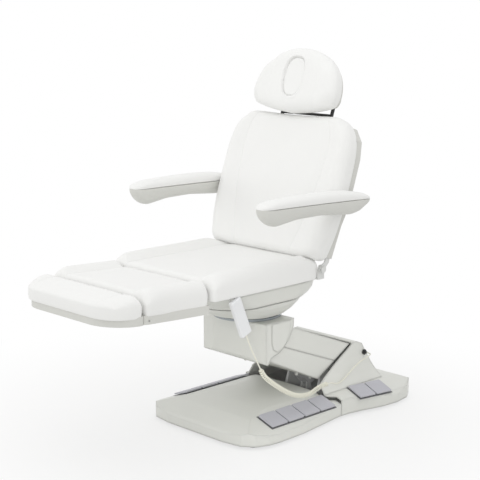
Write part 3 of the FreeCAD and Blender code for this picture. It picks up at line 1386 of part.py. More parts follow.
hangers = [
    box("back_hanger", S.seat_actuator_x - S.seat_rod_radius, S.seat_actuator_x
        + S.seat_rod_radius, S.back_tube_start + S.overrun, S.back_tube_end - S.overrun,
        back_tube_high, S.board_bottom),
    box("leg_hanger", -S.seat_actuator_x - S.seat_rod_radius, -S.seat_actuator_x
        + S.seat_rod_radius, S.leg_tube_start + S.overrun, S.leg_tube_end - S.overrun,
        leg_tube_high, S.board_bottom)]
lever_inner = S.seat_actuator_x - S.seat_rod_radius - S.lever_gap - S.lever_thick
lever_slot = box("lever_slot", lever_inner - S.side_gap, lever_inner + S.lever_thick
                 + S.side_gap * 3, S.back_y - S.lever_sweep_front, S.back_y
                 + S.lever_sweep_rear, S.board_bottom - S.overrun, board_top + S.overrun)
tilt_hole = rod_x("seat_tilt_hole", S.tilt_axis_y, S.tilt_axis_z,
                  S.eye_pin_radius + S.running_gap, -tilt_pin_half - S.overrun,
                  tilt_pin_half + S.overrun)
node("seat_frame", cut(
    "seat_frame_cut", fuse("seat_frame_solid", board, *rails, *hinge_plates, *hinge_pins,
                           *seat_tilt_lugs, *grip_lugs, grip_pin, *knee_lugs, knee_pin,
                           *hangers), lever_slot, tilt_hole))


def fixed_actuator(label, rod_label, x, z, tube_start, tube_end, rod_start, rod_end, side):
    """Actuator bolted under the seat board: tube, gear motor, and a rod with a side pin."""
    tube = rod_y(f"{label}_tube", x, z, S.seat_tube_radius, tube_start, tube_end)
    motor_x = x + (S.seat_tube_radius * 2 + S.hinge_gap) * side
    motor = rod_y(f"{label}_motor", motor_x, z, S.seat_tube_radius, tube_start,
                  tube_start + S.seat_motor_length)
    bridge_ends = sorted((float(x + S.seat_tube_radius * BRIDGE_SHARE * side), float(motor_x)))
    bridge = box(f"{label}_bridge", bridge_ends[0], bridge_ends[1], tube_start,
                 tube_start + S.overrun, z - S.seat_tube_radius * BRIDGE_HALF_SHARE,
                 z + S.seat_tube_radius * BRIDGE_HALF_SHARE)
    bore_low = S.overrun if float(rod_end) > float(tube_end) else -S.overrun
    low, high = ((tube_start + S.side_gap, tube_end + bore_low)
                 if float(rod_end) > float(tube_end)
                 else (tube_start + bore_low, tube_end - S.side_gap))
    bore = rod_y(f"{label}_bore", x, z, S.seat_rod_radius + S.running_gap, low, high)
    node(label, cut(f"{label}_cut", fuse(f"{label}_solid", tube, motor, bridge), bore))
    bar = rod_y(f"{rod_label}_bar", x, z, S.seat_rod_radius, rod_start, rod_end)
    pin_y = (rod_end - S.seat_rod_radius if float(rod_end) > float(tube_end)
             else rod_start + S.seat_rod_radius)
    far = as_size(x) - (S.seat_rod_radius + S.lever_gap * 2 + S.lever_thick) * side
    pin = rod_x(f"{rod_label}_pin", pin_y, z, S.lever_pin_radius,
                min(float(x), float(far)), max(float(x), float(far)))
    node(rod_label, fuse(f"{rod_label}_solid", bar, pin))


back_pin_y = S.back_y + S.back_pin_reach
fixed_actuator("back_actuator", "back_rod", S.seat_actuator_x, S.back_rod_z,
               S.back_tube_start, S.back_tube_end, S.back_tube_end - S.rod_inside,
               back_pin_y + S.seat_rod_radius, 1)
leg_pin_y = S.knee_y - S.leg_pin_reach
fixed_actuator("leg_actuator", "leg_rod", -S.seat_actuator_x, S.leg_rod_z,
               S.leg_tube_start, S.leg_tube_end, leg_pin_y - S.seat_rod_radius,
               S.leg_tube_start + S.rod_inside * 2, -1)

# Seat cushion: foam under a sewn cover, with raised borders at both sides
seat_low = board_top + S.cushion_lift
SEAT_CROSS_SHARES = [(0.958, 0.0), (1.0, 0.40, True), (0.972, 0.78), (0.93, 0.97, True),
                     (0.84, 1.0), (0.76, 0.93, True), (0.70, 0.745), (0.0, 0.775, True)]
seat_cross = both(spread(SEAT_CROSS_SHARES, S.seat_half_width, S.seat_cushion_height, 0,
                         seat_low))
seat_depth = S.seat_front + S.seat_back
SEAT_SIDE_SHARES = [(0.012, 0.0), (0.0, 0.40, True), (0.012, 0.80), (0.022, 0.94, True),
                    (0.055, 1.0), (0.76, 1.0), (0.80, 0.96, True), (0.85, 0.74), (0.975, 0.69),
                    (0.995, 0.62, True), (1.0, 0.45), (1.0, 0.0)]
seat_side = spread(SEAT_SIDE_SHARES, seat_depth, S.seat_cushion_height, -S.seat_front, seat_low)
corner = S.seat_rear_corner
seat_plan = both([
    (S.seat_half_width * SEAT_PLAN_SHARES[0], -S.seat_front),
    (S.seat_half_width * SEAT_PLAN_SHARES[1], -S.seat_front * SEAT_PLAN_SHARES[2], True),
    (S.seat_half_width, -S.seat_front * SEAT_PLAN_SHARES[0]), (S.seat_half_width,
                                                               S.seat_back - corner),
    (S.seat_half_width - corner * (1 - sqrt(0.5)), S.seat_back - corner * (1 - sqrt(0.5)), True),
    (S.seat_half_width - corner, S.seat_back)])
seat_far = S.seat_half_width + S.overrun
node("seat_cushion", feature("seat_cushion_form", shared(
    rounded(seat_cross, "xz", -S.seat_front - S.overrun, S.seat_back + S.overrun),
    rounded(seat_side, "yz", -seat_far, seat_far),
    rounded(seat_plan, "xy", seat_low, seat_low + S.seat_cushion_height))))

# Leg section: frame with its sleeves; in its frame -Y runs from the knee to the foot
leg_turn = -S.leg_tilt
tube_half = S.knee_lug_x - S.hinge_gap
knee_tube = rod_x("knee_tube", 0, 0, S.knee_tube_radius, -tube_half, tube_half)
leg_bar = [
    (S.knee_tube_radius, -S.knee_tube_radius), (S.knee_tube_radius, S.knee_tube_radius),
    (-(S.calf_length * LEG_TUBE_SHARES[0]), S.knee_tube_radius),
    (-(S.calf_length * LEG_TUBE_SHARES[0]), -S.knee_tube_radius)]
leg_bars = both_sides(lambda name, x0, thick: plate_x(name, leg_bar, x0, thick),
                      "leg_bar", tube_half - S.knee_lug_thick - S.hinge_gap, S.knee_lug_thick)
sleeve_radius = S.foot_rail_radius + S.foot_sleeve_wall
sleeve_start, sleeve_end = S.calf_length * LEG_TUBE_SHARES[1], S.calf_length * LEG_TUBE_SHARES[2]
sleeves = [rod_y(f"foot_sleeve_{side + 1}", S.foot_rail_x * side, S.foot_rail_lift,
                 sleeve_radius, -sleeve_end, -sleeve_start) for side in (-1, 1)]
leg_ties = [rod_x(f"leg_tie_{i}", -along, S.foot_rail_lift, S.leg_tie_radius, -tube_half
                  + S.knee_lug_thick, tube_half - S.knee_lug_thick)
            for i, along in enumerate((sleeve_start + S.leg_tie_radius * 2,
                                       sleeve_end - S.leg_tie_radius * 2))]
leg_lever_dir = radians(float(S.leg_lever_angle) + float(S.leg_tilt))
lever_y, lever_z = cos(leg_lever_dir), sin(leg_lever_dir)


def lever_points(inner, tip, half, ahead_y, ahead_z):
    """Corners of a lever's arm from one reach to another along a direction."""
    return [(as_size(ahead_y) * reach - as_size(ahead_z) * side,
             as_size(ahead_z) * reach + as_size(ahead_y) * side)
            for reach, side in ((as_size(inner), -as_size(half)), (as_size(tip), -as_size(half)),
                                (as_size(tip), as_size(half)), (as_size(inner), as_size(half)))]


lever_half = S.lever_slot_half + S.lever_edge
leg_lever = plate_x(
    "leg_lever", lever_points(0, S.leg_slot_far + S.lever_edge, lever_half, lever_y, lever_z),
    -(lever_inner + S.lever_thick), S.lever_thick)
leg_slot = plate_x(
    "leg_slot", lever_points(S.leg_slot_near, S.leg_slot_far, S.lever_slot_half, lever_y,
                             lever_z), -(lever_inner + S.lever_thick + S.overrun),
    S.lever_thick + S.overrun * 2)
knee_bore = rod_x("knee_bore", 0, 0, S.leg_pin_radius + S.running_gap, -S.knee_lug_x,
                  S.knee_lug_x)
rail_bores = [rod_y(f"rail_bore_{side + 1}", S.foot_rail_x * side, S.foot_rail_lift,
                    S.foot_rail_radius + S.running_gap, -sleeve_end - S.overrun,
                    -sleeve_start + S.overrun) for side in (-1, 1)]
framed("leg_frame", cut("leg_frame_cut", fuse("leg_frame_solid", knee_tube, *leg_bars, *sleeves,
                                              *leg_ties, leg_lever), leg_slot, knee_bore,
                        *rail_bores), S.knee_y, S.knee_z, leg_turn)

# Calf shell: a shallow moulded tray, open at the top, with a knob below its middle
calf_end = S.section_start + S.calf_length


def tray(name, plan, plan_in, low, high, holes):
    """Open tray: a plan between two levels with its inside taken away."""
    return cut(f"{name}_cut", slab_z(f"{name}_out", plan, low, as_size(high) - low),
               slab_z(f"{name}_in", plan_in, as_size(low) + S.leg_shell_wall,
                      as_size(high) - low), *holes)


KNEE_CLEAR_SHARE = 1.25
calf_plan = mirrored([
    (S.calf_half_width * CALF_PLAN_SHARES[0], -calf_end),
                      (S.calf_half_width * CALF_PLAN_SHARES[1], -(calf_end * CALF_PLAN_SHARES[2])),
    (S.calf_half_width, -(calf_end * CALF_PLAN_SHARES[3])), (S.calf_half_width, -S.section_start)])
notch = [box(f"leg_notch_{side + 1}",
             (tube_half - S.knee_lug_thick - S.hinge_gap * 2) if side > 0 else -tube_half,
             tube_half if side > 0 else -(tube_half - S.knee_lug_thick - S.hinge_gap * 2),
             -(S.section_start + S.leg_shell_wall + S.overrun / 2), 0,
             -(S.knee_tube_radius + S.hinge_gap), S.leg_shell_high + S.overrun)
         for side in (-1, 1)]
rail_slots = [rod_y(f"calf_slot_{side + 1}", S.foot_rail_x * side, S.foot_rail_lift,
                    S.foot_rail_radius + S.hinge_gap, -(calf_end + S.overrun),
                    -(calf_end - S.overrun)) for side in (-1, 1)]
knee_clear = [
    rod_x("knee_tube_clear", 0, 0, S.knee_tube_radius + S.hinge_gap, -S.knee_lug_x,
          S.knee_lug_x),
    rod_x("knee_lug_clear_left", 0, 0, S.knee_lug_radius * KNEE_CLEAR_SHARE,
          S.knee_lug_x - S.hinge_gap, S.knee_lug_x + S.knee_lug_thick + S.hinge_gap),
    rod_x("knee_lug_clear_right", 0, 0, S.knee_lug_radius * KNEE_CLEAR_SHARE,
          -(S.knee_lug_x + S.knee_lug_thick + S.hinge_gap), -(S.knee_lug_x - S.hinge_gap))]
lever_notch = box("lever_notch", -(lever_inner + S.lever_thick + S.hinge_gap),
                  -(lever_inner - S.hinge_gap), -S.lever_notch_reach, 0,
                  -(S.leg_shell_low + S.overrun), S.leg_shell_high + S.overrun)
calf_tray = tray("calf_tray", calf_plan, inset(calf_plan, S.leg_shell_wall), -S.leg_shell_low,
                 S.leg_shell_high, notch + rail_slots + knee_clear + [lever_notch])
knob_neck = post("calf_knob_neck", S.calf_half_width * S.knob_share,
                 -(calf_end * CALF_PLAN_SHARES[3]),
                 S.knob_radius * FLAT_SHARE, -(S.leg_shell_low + S.knob_drop), -S.leg_shell_low)
knob = post("calf_knob", S.calf_half_width * S.knob_share, -(calf_end * CALF_PLAN_SHARES[3]),
            S.knob_radius,
            -(S.leg_shell_low + S.knob_drop * 2), -(S.leg_shell_low + S.knob_drop))
framed("calf_shell", fuse("calf_shell_solid", calf_tray, knob_neck, knob), S.knee_y, S.knee_z,
       leg_turn)

# Calf and foot cushions
leg_low = S.leg_shell_high + S.cushion_lift
LEG_CROSS_SHARES = [(0.975, 0.0), (1.0, 0.42, True), (0.975, 0.80), (0.93, 0.97, True),
                    (0.84, 1.0), (0.76, 0.94, True), (0.70, 0.80), (0.0, 0.83, True)]
calf_cross = both(spread(LEG_CROSS_SHARES, S.calf_half_width, S.leg_cushion_height, 0, leg_low))
CALF_SIDE_SHARES = [(0.0, 0.0), (0.0, 0.80), (0.012, 0.94, True), (0.05, 1.0), (0.95, 1.0),
                    (0.988, 0.94, True), (1.0, 0.80), (1.0, 0.0)]
calf_side = spread(CALF_SIDE_SHARES, S.calf_length, S.leg_cushion_height, -calf_end, leg_low)
leg_far = S.calf_half_width + S.overrun
calf_form = shared(
    rounded(calf_cross, "xz", -calf_end - S.overrun, S.overrun),
    rounded(calf_side, "yz", -leg_far, leg_far))
at_joint("calf_cushion", calf_form, S.knee_y, S.knee_z, leg_turn)
foot_start = calf_end + S.section_gap
foot_end = foot_start + S.foot_length
round_foot = S.foot_half_width * S.foot_corner_share


def foot_plan(half_width):
    """Plan of the foot section with its round outer corners."""
    return both([
        (half_width - round_foot, -foot_end),
        (half_width - round_foot * (1 - sqrt(0.5)), -(foot_end - round_foot * (1 - sqrt(0.5))),
         True),
        (half_width, -(foot_end - round_foot)), (half_width * FOOT_PLAN_SHARES[0], -foot_start)])


foot_cross = both(spread(LEG_CROSS_SHARES, S.foot_half_width, S.leg_cushion_height, 0, leg_low))
FOOT_SIDE_SHARES = [(0.02, 0.0), (0.0, 0.4, True), (0.03, 0.78), (0.07, 0.94, True),
                    (0.15, 1.0), (0.93, 1.0), (0.98, 0.95, True), (1.0, 0.82), (1.0, 0.0)]
foot_side = spread(FOOT_SIDE_SHARES, S.foot_length, S.leg_cushion_height, -foot_end, leg_low)
foot_form = shared(
    rounded(foot_cross, "xz", -foot_end - S.overrun, 0),
    rounded(foot_side, "yz", -leg_far, leg_far),
    rounded(foot_plan(S.foot_half_width), "xy", leg_low, leg_low + S.leg_cushion_height))
at_joint("foot_cushion", foot_form, S.knee_y, S.knee_z, leg_turn)

# Foot shell with the two rails that slide in the leg's sleeves
foot_out = rounded(foot_plan(S.foot_half_width), "xy", -S.leg_shell_low, S.leg_shell_high)
inner_half = S.foot_half_width - S.leg_shell_wall
foot_hollow = rounded(both([
    (inner_half - round_foot, -(foot_end - S.leg_shell_wall)),
    (inner_half - round_foot * (1 - sqrt(0.5)),
     -(foot_end - S.leg_shell_wall - round_foot * (1 - sqrt(0.5))), True),
    (inner_half, -(foot_end - S.leg_shell_wall - round_foot)),
    (inner_half * FOOT_PLAN_SHARES[0], -(foot_start + S.leg_shell_wall))]), "xy",
    -(S.leg_shell_low - S.leg_shell_wall), S.leg_shell_high + S.overrun)
foot_rails = [Part.makeCylinder(
    float(S.foot_rail_radius), float(S.foot_rail_length),
    Vector(float(S.foot_rail_x) * side, -float(foot_end - S.foot_length * FOOT_PLAN_SHARES[1]),
           float(S.foot_rail_lift)), Y_AXIS) for side in (-1, 1)]
foot_shape = foot_out.cut(foot_hollow).fuse(foot_rails[0]).fuse(foot_rails[1])
at_joint("foot_shell", foot_shape, S.knee_y, S.knee_z, leg_turn)

# Back: in its frame Y runs up the back from the hinge and Z points to the patient
back_low = S.back_low
BACK_PLAN_SHARES = [(0.85, 0.058), (0.905, 0.064, True), (0.93, 0.10), (0.972, 0.22),
                    (1.0, 0.38), (1.0, 0.62), (0.994, 0.76), (0.953, 0.88, True),
                    (0.815, 0.963), (0.70, 0.995, True), (0.56, 0.999), (0.28, 0.984)]
BACK_DIP_SHARE = 0.977
back_plan = both(spread(BACK_PLAN_SHARES, S.back_half_width, S.back_top)
                 + [(as_size(0), S.back_top * BACK_DIP_SHARE)])
BACK_CROSS_SHARES = [(0.94, 0.0), (1.0, 0.42, True), (0.965, 0.82), (0.92, 0.98, True),
                     (0.85, 1.0), (0.76, 0.94, True), (0.71, 0.80), (0.0, 0.85, True)]
back_cross = both(spread(BACK_CROSS_SHARES, S.back_half_width, S.back_cushion_depth, 0,
                         S.back_cushion_rear))
BACK_SIDE_SHARES = [(0.09, 0.0), (0.062, 0.3, True), (0.058, 0.7), (0.07, 0.93, True),
                    (0.11, 1.0), (0.93, 1.0), (0.975, 0.92, True), (0.998, 0.65),
                    (1.0, 0.3, True), (0.985, 0.0)]
back_side = spread(BACK_SIDE_SHARES, S.back_top, S.back_cushion_depth, 0, S.back_cushion_rear)
back_far = S.back_half_width + S.overrun
back_form = shared(
    rounded(back_plan, "xy", S.back_cushion_rear, S.back_cushion_rear + S.back_cushion_depth),
    rounded(back_cross, "xz", 0, S.back_top + S.overrun),
    rounded(back_side, "yz", -back_far, back_far))
at_joint("back_cushion", back_form, S.back_y, S.back_z, S.back_angle)

# Back shell: moulded cover behind the cushion, with openings for arms, bars and pins
BACK_SHELL_SHARES = [(0.92, 0.0), (0.95, 0.25), (1.0, 0.40), (1.0, 0.75), (0.96, 0.88),
                     (0.84, 0.97), (0.60, 1.0)]
shell_height = S.back_top - S.back_shell_edge - back_low
back_shell_plan = mirrored(shares_to(BACK_SHELL_SHARES, S.back_shell_half_width, shell_height,
                                     0, back_low))
shell_out = slab_z("back_shell_out", back_shell_plan, -S.back_shell_depth, S.back_shell_depth)
shell_in = slab_z("back_shell_in", inset(back_shell_plan, S.leg_shell_wall),
                  S.leg_shell_wall - S.back_shell_depth, S.back_shell_depth)
foot_of_shell = back_low + S.leg_shell_wall + S.overrun
arm_notches = [box(f"back_notch_{side + 1}",
                   (back_arm_inner - S.hinge_gap * 3) if side > 0
                   else -(back_arm_outer + S.hinge_gap),
                   (back_arm_outer + S.hinge_gap) if side > 0
                   else -(back_arm_inner - S.hinge_gap * 3),
                   0, S.back_arm_top, -(S.back_arm_half * 2 + S.hinge_gap), S.overrun)
               for side in (-1, 1)]
lever_opening = box("lever_opening", lever_inner - S.hinge_gap,
                    lever_inner + S.lever_thick + S.hinge_gap, 0, foot_of_shell,
                    -S.back_shell_depth - S.overrun, S.overrun)
bar_openings = [rod_y(f"bar_opening_{side + 1}", S.bracket_bar_x * side, -S.bracket_bar_depth,
                      S.bracket_bar_radius + S.side_gap, S.back_top * BACK_BAR_SHARE,
                      S.back_top + S.overrun) for side in (-1, 1)]
pin_openings = rod_x("pin_openings", S.arm_pivot_up, -S.arm_pin_depth,
                     S.arm_pin_radius + S.hinge_gap, -back_far, back_far)
framed("back_shell", cut("back_shell_cut", shell_out, shell_in, *arm_notches, lever_opening,
                         *bar_openings, pin_openings), S.back_y, S.back_z, S.back_angle)

# Back frame: side arms on the hinges, cross tubes, sleeves of the headrest and the lever
back_arm = [
    (-S.hinge_boss, -(S.hinge_boss * FLAT_SHARE)), (-(S.hinge_boss * FLAT_SHARE), -S.hinge_boss),
    (S.hinge_boss, -S.hinge_boss), (S.hinge_boss * 2, -(S.back_arm_half * 2)),
    (S.back_arm_top - S.hinge_gap, -(S.back_arm_half * 2)),
    (S.back_arm_top - S.hinge_gap, -S.hinge_gap), (S.hinge_boss * BOSS_SHARES[0], -S.hinge_gap),
    (S.hinge_boss, S.hinge_boss * BOSS_SHARES[1]), (0, S.hinge_boss), (-S.hinge_boss,
                                                                       S.hinge_boss * FLAT_SHARE)]
back_arms = both_sides(lambda name, x0, thick: plate_x(name, back_arm, x0, thick),
                       "back_arm", back_arm_inner, S.back_arm_thick)
tube_depth = S.bracket_bar_depth
low_tube = rod_x("back_low_tube", S.back_tube_low, -tube_depth, S.back_tube_radius,
                 -back_arm_inner, back_arm_inner)
high_tube = rod_x("back_high_tube", S.back_tube_high, -tube_depth, S.back_tube_radius,
                  -S.back_frame_half_width, S.back_frame_half_width)
uprights = [rod_y(f"back_sleeve_{side + 1}", S.bracket_bar_x * side, -tube_depth,
                  S.back_sleeve_radius, S.back_tube_low, S.back_sleeve_end)
            for side in (-1, 1)]
arm_pivot_y = (S.back_y + S.arm_pivot_up * cosd(S.back_angle)
               + S.arm_pin_depth * sind(S.back_angle))
arm_pivot_z = (S.back_z + S.arm_pivot_up * sind(S.back_angle)
               - S.arm_pin_depth * cosd(S.back_angle))
pin_tube = rod_x("arm_pin_tube", S.arm_pivot_up, -S.arm_pin_depth,
                 S.arm_pin_radius * PIN_TUBE_SHARE,
                 -S.arm_rest_inner + S.arm_pin_depth, S.arm_rest_inner - S.arm_pin_depth)
arm_toe = degrees(atan2(float(S.arm_rest_toe), -float(S.arm_rest_front) + float(arm_pivot_y)))
arm_pins = []
for side in (-1, 1):
    pin = Part.makeCylinder(
        float(S.arm_pin_radius), float(S.arm_pin_reach + S.arm_pin_depth * 2),
        Vector(), Vector(side * cos(radians(arm_toe)), -sin(radians(arm_toe)), 0))
    start = -float(S.arm_pin_depth * 2)
    pin.translate(Vector(side * (float(S.arm_rest_inner) + start * cos(radians(arm_toe))),
                         -start * sin(radians(arm_toe)), 0))
    pin = pin.copy()
    pin.Placement = Placement(Vector(0, float(arm_pivot_y), float(arm_pivot_z)),
                              Rotation()).multiply(pin.Placement)
    arm_pins.append(pin)
rest_angle = radians(float(S.back_angle))
back_lever_dir = radians(float(S.back_lever_angle)) - rest_angle
back_y_dir, back_z_dir = cos(back_lever_dir), sin(back_lever_dir)
LEVER_BEND_SHARES = [(1.0, -35.0), (1.0, 0.0), (1.0, 35.0), (1.08, 57.0)]
LEVER_OUTER_SHARES = [(1.48, 57.0), (1.40, 32.0), (1.40, 0.0), (1.43, -30.0)]


def about_hinge(reach_share, world_angle):
    """Point at a share of the lever's bend radius, at an angle from the level line."""
    angle = radians(world_angle) - rest_angle
    return (S.lever_bend * reach_share * cos(angle), S.lever_bend * reach_share * sin(angle))


arm_corners = lever_points(S.lever_bend * BEND_SHARE, S.back_slot_far + S.lever_edge, lever_half,
                           back_y_dir, back_z_dir)
back_lever_outline = (
    [about_hinge(*pair) for pair in LEVER_OUTER_SHARES] + [arm_corners[2], arm_corners[1],
                                                           arm_corners[0]]
    + [about_hinge(*pair) for pair in LEVER_BEND_SHARES])
back_lever = plate_x("back_lever", back_lever_outline, lever_inner, S.lever_thick)
back_slot = plate_x(
    "back_slot", lever_points(S.back_slot_near, S.back_slot_far, S.lever_slot_half, back_y_dir,
                              back_z_dir), lever_inner - S.overrun,
    S.lever_thick + S.overrun * 2)
hinge_bore = rod_x("hinge_bore", 0, 0, S.hinge_pin_radius + S.running_gap, -back_far, back_far)
bar_bores = [rod_y(f"bar_bore_{side + 1}", S.bracket_bar_x * side, -tube_depth,
                   S.bracket_bar_radius + S.running_gap, S.bracket_bar_low - S.overrun * 2,
                   S.back_sleeve_end + S.overrun) for side in (-1, 1)]
frame_rest = cut("back_frame_rest", fuse(
    "back_frame_solid", *back_arms, low_tube, high_tube, *uprights, pin_tube, back_lever),
    back_slot, hinge_bore, *bar_bores)
doc.recompute()
back_place = Placement(Vector(0, float(S.back_y), float(S.back_z)),
                       Rotation(X_AXIS, float(S.back_angle)))
frame_shape = frame_rest.Shape.copy()
frame_shape.Placement = back_place.multiply(frame_shape.Placement)
node("back_frame", feature("back_frame_form", frame_shape.fuse(arm_pins[0]).fuse(arm_pins[1])
                           .removeSplitter()))

# Headrest bracket: two bars in the back's sleeves, joined at the headrest's pivot
bars_up = [rod_y(f"bracket_bar_{side + 1}", S.bracket_bar_x * side, -tube_depth,
                 S.bracket_bar_radius, S.bracket_bar_low, S.tilt_pin_up
                 + S.bracket_bar_radius)
           for side in (-1, 1)]
cross_pin = rod_x("bracket_cross", S.tilt_pin_up, -tube_depth, S.bracket_pin_radius,
                  -S.bracket_bar_x, S.bracket_bar_x)
low_bar = rod_x("bracket_low_bar", S.back_top + S.side_gap * 2 + S.bracket_bar_radius,
                -tube_depth, S.bracket_pin_radius, -S.bracket_bar_x, S.bracket_bar_x)
framed("headrest_bracket", fuse("headrest_bracket_solid", *bars_up, cross_pin, low_bar),
       S.back_y, S.back_z, S.back_angle)

# Headrest: shell with two lugs on the bracket, and a cushion with a dished face opening
head_span = S.head_high - S.head_low
HEAD_PLAN_SHARES = [(0.93, 0.13), (0.985, 0.185, True), (1.0, 0.28), (0.97, 0.48, True),
                    (0.87, 0.66), (0.69, 0.815, True), (0.43, 0.93), (0.22, 0.985, True)]
head_plan_marked = ([(as_size(0), S.head_low)] + spread(HEAD_PLAN_SHARES, S.head_half_span,
                                                        head_span, 0, S.head_low)
                    + [(as_size(0), S.head_high)])
head_outline = both(head_plan_marked)
HEAD_CROSS_SHARES = [(0.97, 0.0), (1.0, 0.42, True), (0.965, 0.80), (0.90, 0.97, True),
                     (0.80, 1.0), (0.40, 0.94, True)]
head_depth = S.head_front_depth - S.head_cushion_rear
head_cross = both(spread(HEAD_CROSS_SHARES, S.head_half_span, head_depth, 0,
                         S.head_cushion_rear) + [(as_size(0),
                                                  S.head_front_depth * HEAD_DEPTH_SHARE)])
HEAD_PROFILE_SHARES = [(0.03, 0.0), (0.0, 0.42, True), (0.03, 0.80), (0.07, 0.96, True),
                       (0.16, 1.0), (0.84, 1.0), (0.93, 0.96, True), (0.97, 0.80),
                       (1.0, 0.42, True), (0.97, 0.0)]
head_profile = spread(HEAD_PROFILE_SHARES, head_span, head_depth, S.head_low,
                      S.head_cushion_rear)
head_far = S.head_half_span + S.overrun
hole_mid = (S.hole_low + S.hole_high) / 2
HOLE_SHARES = [(0.7, 0.12), (1.0, 0.5, True), (0.7, 0.88), (0.0, 1.0, True), (-0.7, 0.88),
               (-1.0, 0.5, True), (-0.7, 0.12), (0.0, 0.0, True)]
oval = rounded(spread(HOLE_SHARES, S.hole_half_width, S.hole_high - S.hole_low, 0, S.hole_low),
               "xy", S.head_cushion_rear + S.hole_floor, S.head_front_depth + S.overrun)
head_form = shared(
    rounded(head_outline, "xy", S.head_cushion_rear, S.head_front_depth),
    rounded(head_cross, "xz", S.head_low - S.overrun, S.head_high + S.overrun),
    rounded(head_profile, "yz", -head_far, head_far)).cut(oval)
at_joint("headrest_cushion", head_form, S.back_y, S.back_z, S.back_angle)

shell_front = S.head_cushion_rear - S.cushion_lift
head_shell_plan = both([(p[0] * S.head_shell_share,
                         hole_mid + (p[1] - hole_mid) * S.head_shell_share) + tuple(p[2:])
                        for p in head_plan_marked])
shell_block = rounded(head_shell_plan, "xy", S.head_shell_rear, shell_front)
lug_in = S.bracket_bar_x - S.bracket_bar_radius - S.hinge_gap * 2 - S.head_lug_thick
lug_depth = S.bracket_pin_radius * 2.6
head_lug_form = [
    (S.tilt_pin_up - lug_depth, -tube_depth), (S.tilt_pin_up - lug_depth * TILT_TUBE_SHARES[0],
                                               -(tube_depth + lug_depth * TILT_TUBE_SHARES[1])),
    (S.tilt_pin_up + lug_depth * TILT_TUBE_SHARES[0],
     -(tube_depth + lug_depth * TILT_TUBE_SHARES[1])),
    (S.tilt_pin_up + lug_depth, -tube_depth),
    (S.tilt_pin_up + lug_depth * 2, S.head_shell_rear + S.leg_shell_wall),
    (S.tilt_pin_up - lug_depth * 2, S.head_shell_rear + S.leg_shell_wall)]
for side in (-1, 1):
    x0 = lug_in if side > 0 else -(lug_in + S.head_lug_thick)
    shell_block = shell_block.fuse(rounded(head_lug_form, "yz", x0, x0 + S.head_lug_thick))
pivot_bore = Part.makeCylinder(
    float(S.bracket_pin_radius + S.running_gap), float(head_far * 2),
    Vector(-float(head_far), float(S.tilt_pin_up), -float(tube_depth)), X_AXIS)
at_joint("headrest_shell", shell_block.cut(pivot_bore), S.back_y, S.back_z, S.back_angle)

# Armrests: a hollow moulded shell on the back's pin, and a pad; drawn about the pin at +X
ARM_SHELL_SHARES = [(-1.0, 0.60), (-0.995, 0.21), (-0.95, -0.28, True), (-0.90, -0.375),
                    (-0.84, -0.41, True), (-0.78, -0.33), (-0.62, -0.18), (-0.38, -0.17),
                    (-0.18, -0.31), (-0.055, -0.39), (0.03, -0.17), (0.115, 0.29),
                    (0.118, 0.34)]
ARM_TOP_EDGE_SHARES = [(0.0, 0.37), (-0.38, 0.44), (-0.87, 0.51)]
arm_fore = arm_pivot_y - S.arm_rest_front
arm_rise = S.arm_rest_top - arm_pivot_z
arm_shell_side = spread(ARM_SHELL_SHARES + ARM_TOP_EDGE_SHARES, arm_fore, arm_rise)
ARM_PAD_SHARES = [(-0.998, 0.61), (-0.99, 0.71, True), (-0.955, 0.82), (-0.83, 0.945, True),
                  (-0.58, 1.0), (-0.29, 0.985), (-0.115, 0.90), (0.04, 0.70, True),
                  (0.112, 0.46), (0.116, 0.35)]
arm_pad_side = spread(ARM_PAD_SHARES, arm_fore, arm_rise) + [
    (arm_fore * p[0], arm_rise * p[1] + S.cushion_lift) for p in ARM_TOP_EDGE_SHARES]
wide = S.arm_rest_width
SHELL_CROSS_SHARES = [(0.0, 1.0), (0.0, 0.55), (0.08, 0.05, True), (0.30, -0.42),
                      (0.50, -0.45, True), (0.70, -0.42), (0.92, 0.05, True), (1.0, 0.55),
                      (1.0, 1.0)]
PAD_CROSS_SHARES = [(0.03, 0.30), (0.0, 0.60, True), (0.10, 0.86), (0.28, 0.985, True),
                    (0.50, 1.0), (0.72, 0.985, True), (0.90, 0.86), (1.0, 0.60, True),
                    (0.97, 0.30)]
ARM_PLAN_SHARES = [(0.12, -0.965), (0.5, -1.0, True), (0.88, -0.965), (1.0, -0.90), (1.0, 0.06),
                   (0.85, 0.108, True), (0.5, 0.118), (0.15, 0.108, True), (0.0, 0.06),
                   (0.0, -0.90)]
arm_plan = spread(ARM_PLAN_SHARES, wide, arm_fore)
arm_tall = (-arm_rise, arm_rise * 2)
arm_far = -(arm_fore + S.overrun)
shell_cross = spread(SHELL_CROSS_SHARES, wide, arm_rise)
arm_outer = shared(rounded(arm_shell_side, "yz", -S.overrun, wide + S.overrun),
                   rounded(shell_cross, "xz", arm_far, arm_fore),
                   rounded(arm_plan, "xy", *arm_tall))
wall_a = S.arm_shell_wall
HOLLOW_SIDE_SHARES = [(-0.965, 1.2), (-0.965, -0.1), (-0.90, -0.28), (-0.80, -0.25),
                      (-0.62, -0.08), (-0.38, -0.06), (-0.18, -0.20), (-0.06, -0.26),
                      (0.015, -0.1), (0.07, 0.25), (0.07, 1.2)]
HOLLOW_CROSS_SHARES = [(0.0, 1.2), (0.0, 0.55), (0.12, 0.0), (0.31, -0.38), (0.69, -0.38),
                       (0.88, 0.0), (1.0, 0.55), (1.0, 1.2)]
hollow_cross = spread(HOLLOW_CROSS_SHARES, wide - wall_a * 2, arm_rise, wall_a)
arm_inner_form = shared(
    rounded(spread(HOLLOW_SIDE_SHARES, arm_fore, arm_rise), "yz", 0, wide),
    rounded(hollow_cross, "xz", arm_far, arm_fore))
boss_length = S.arm_pin_reach + S.side_gap
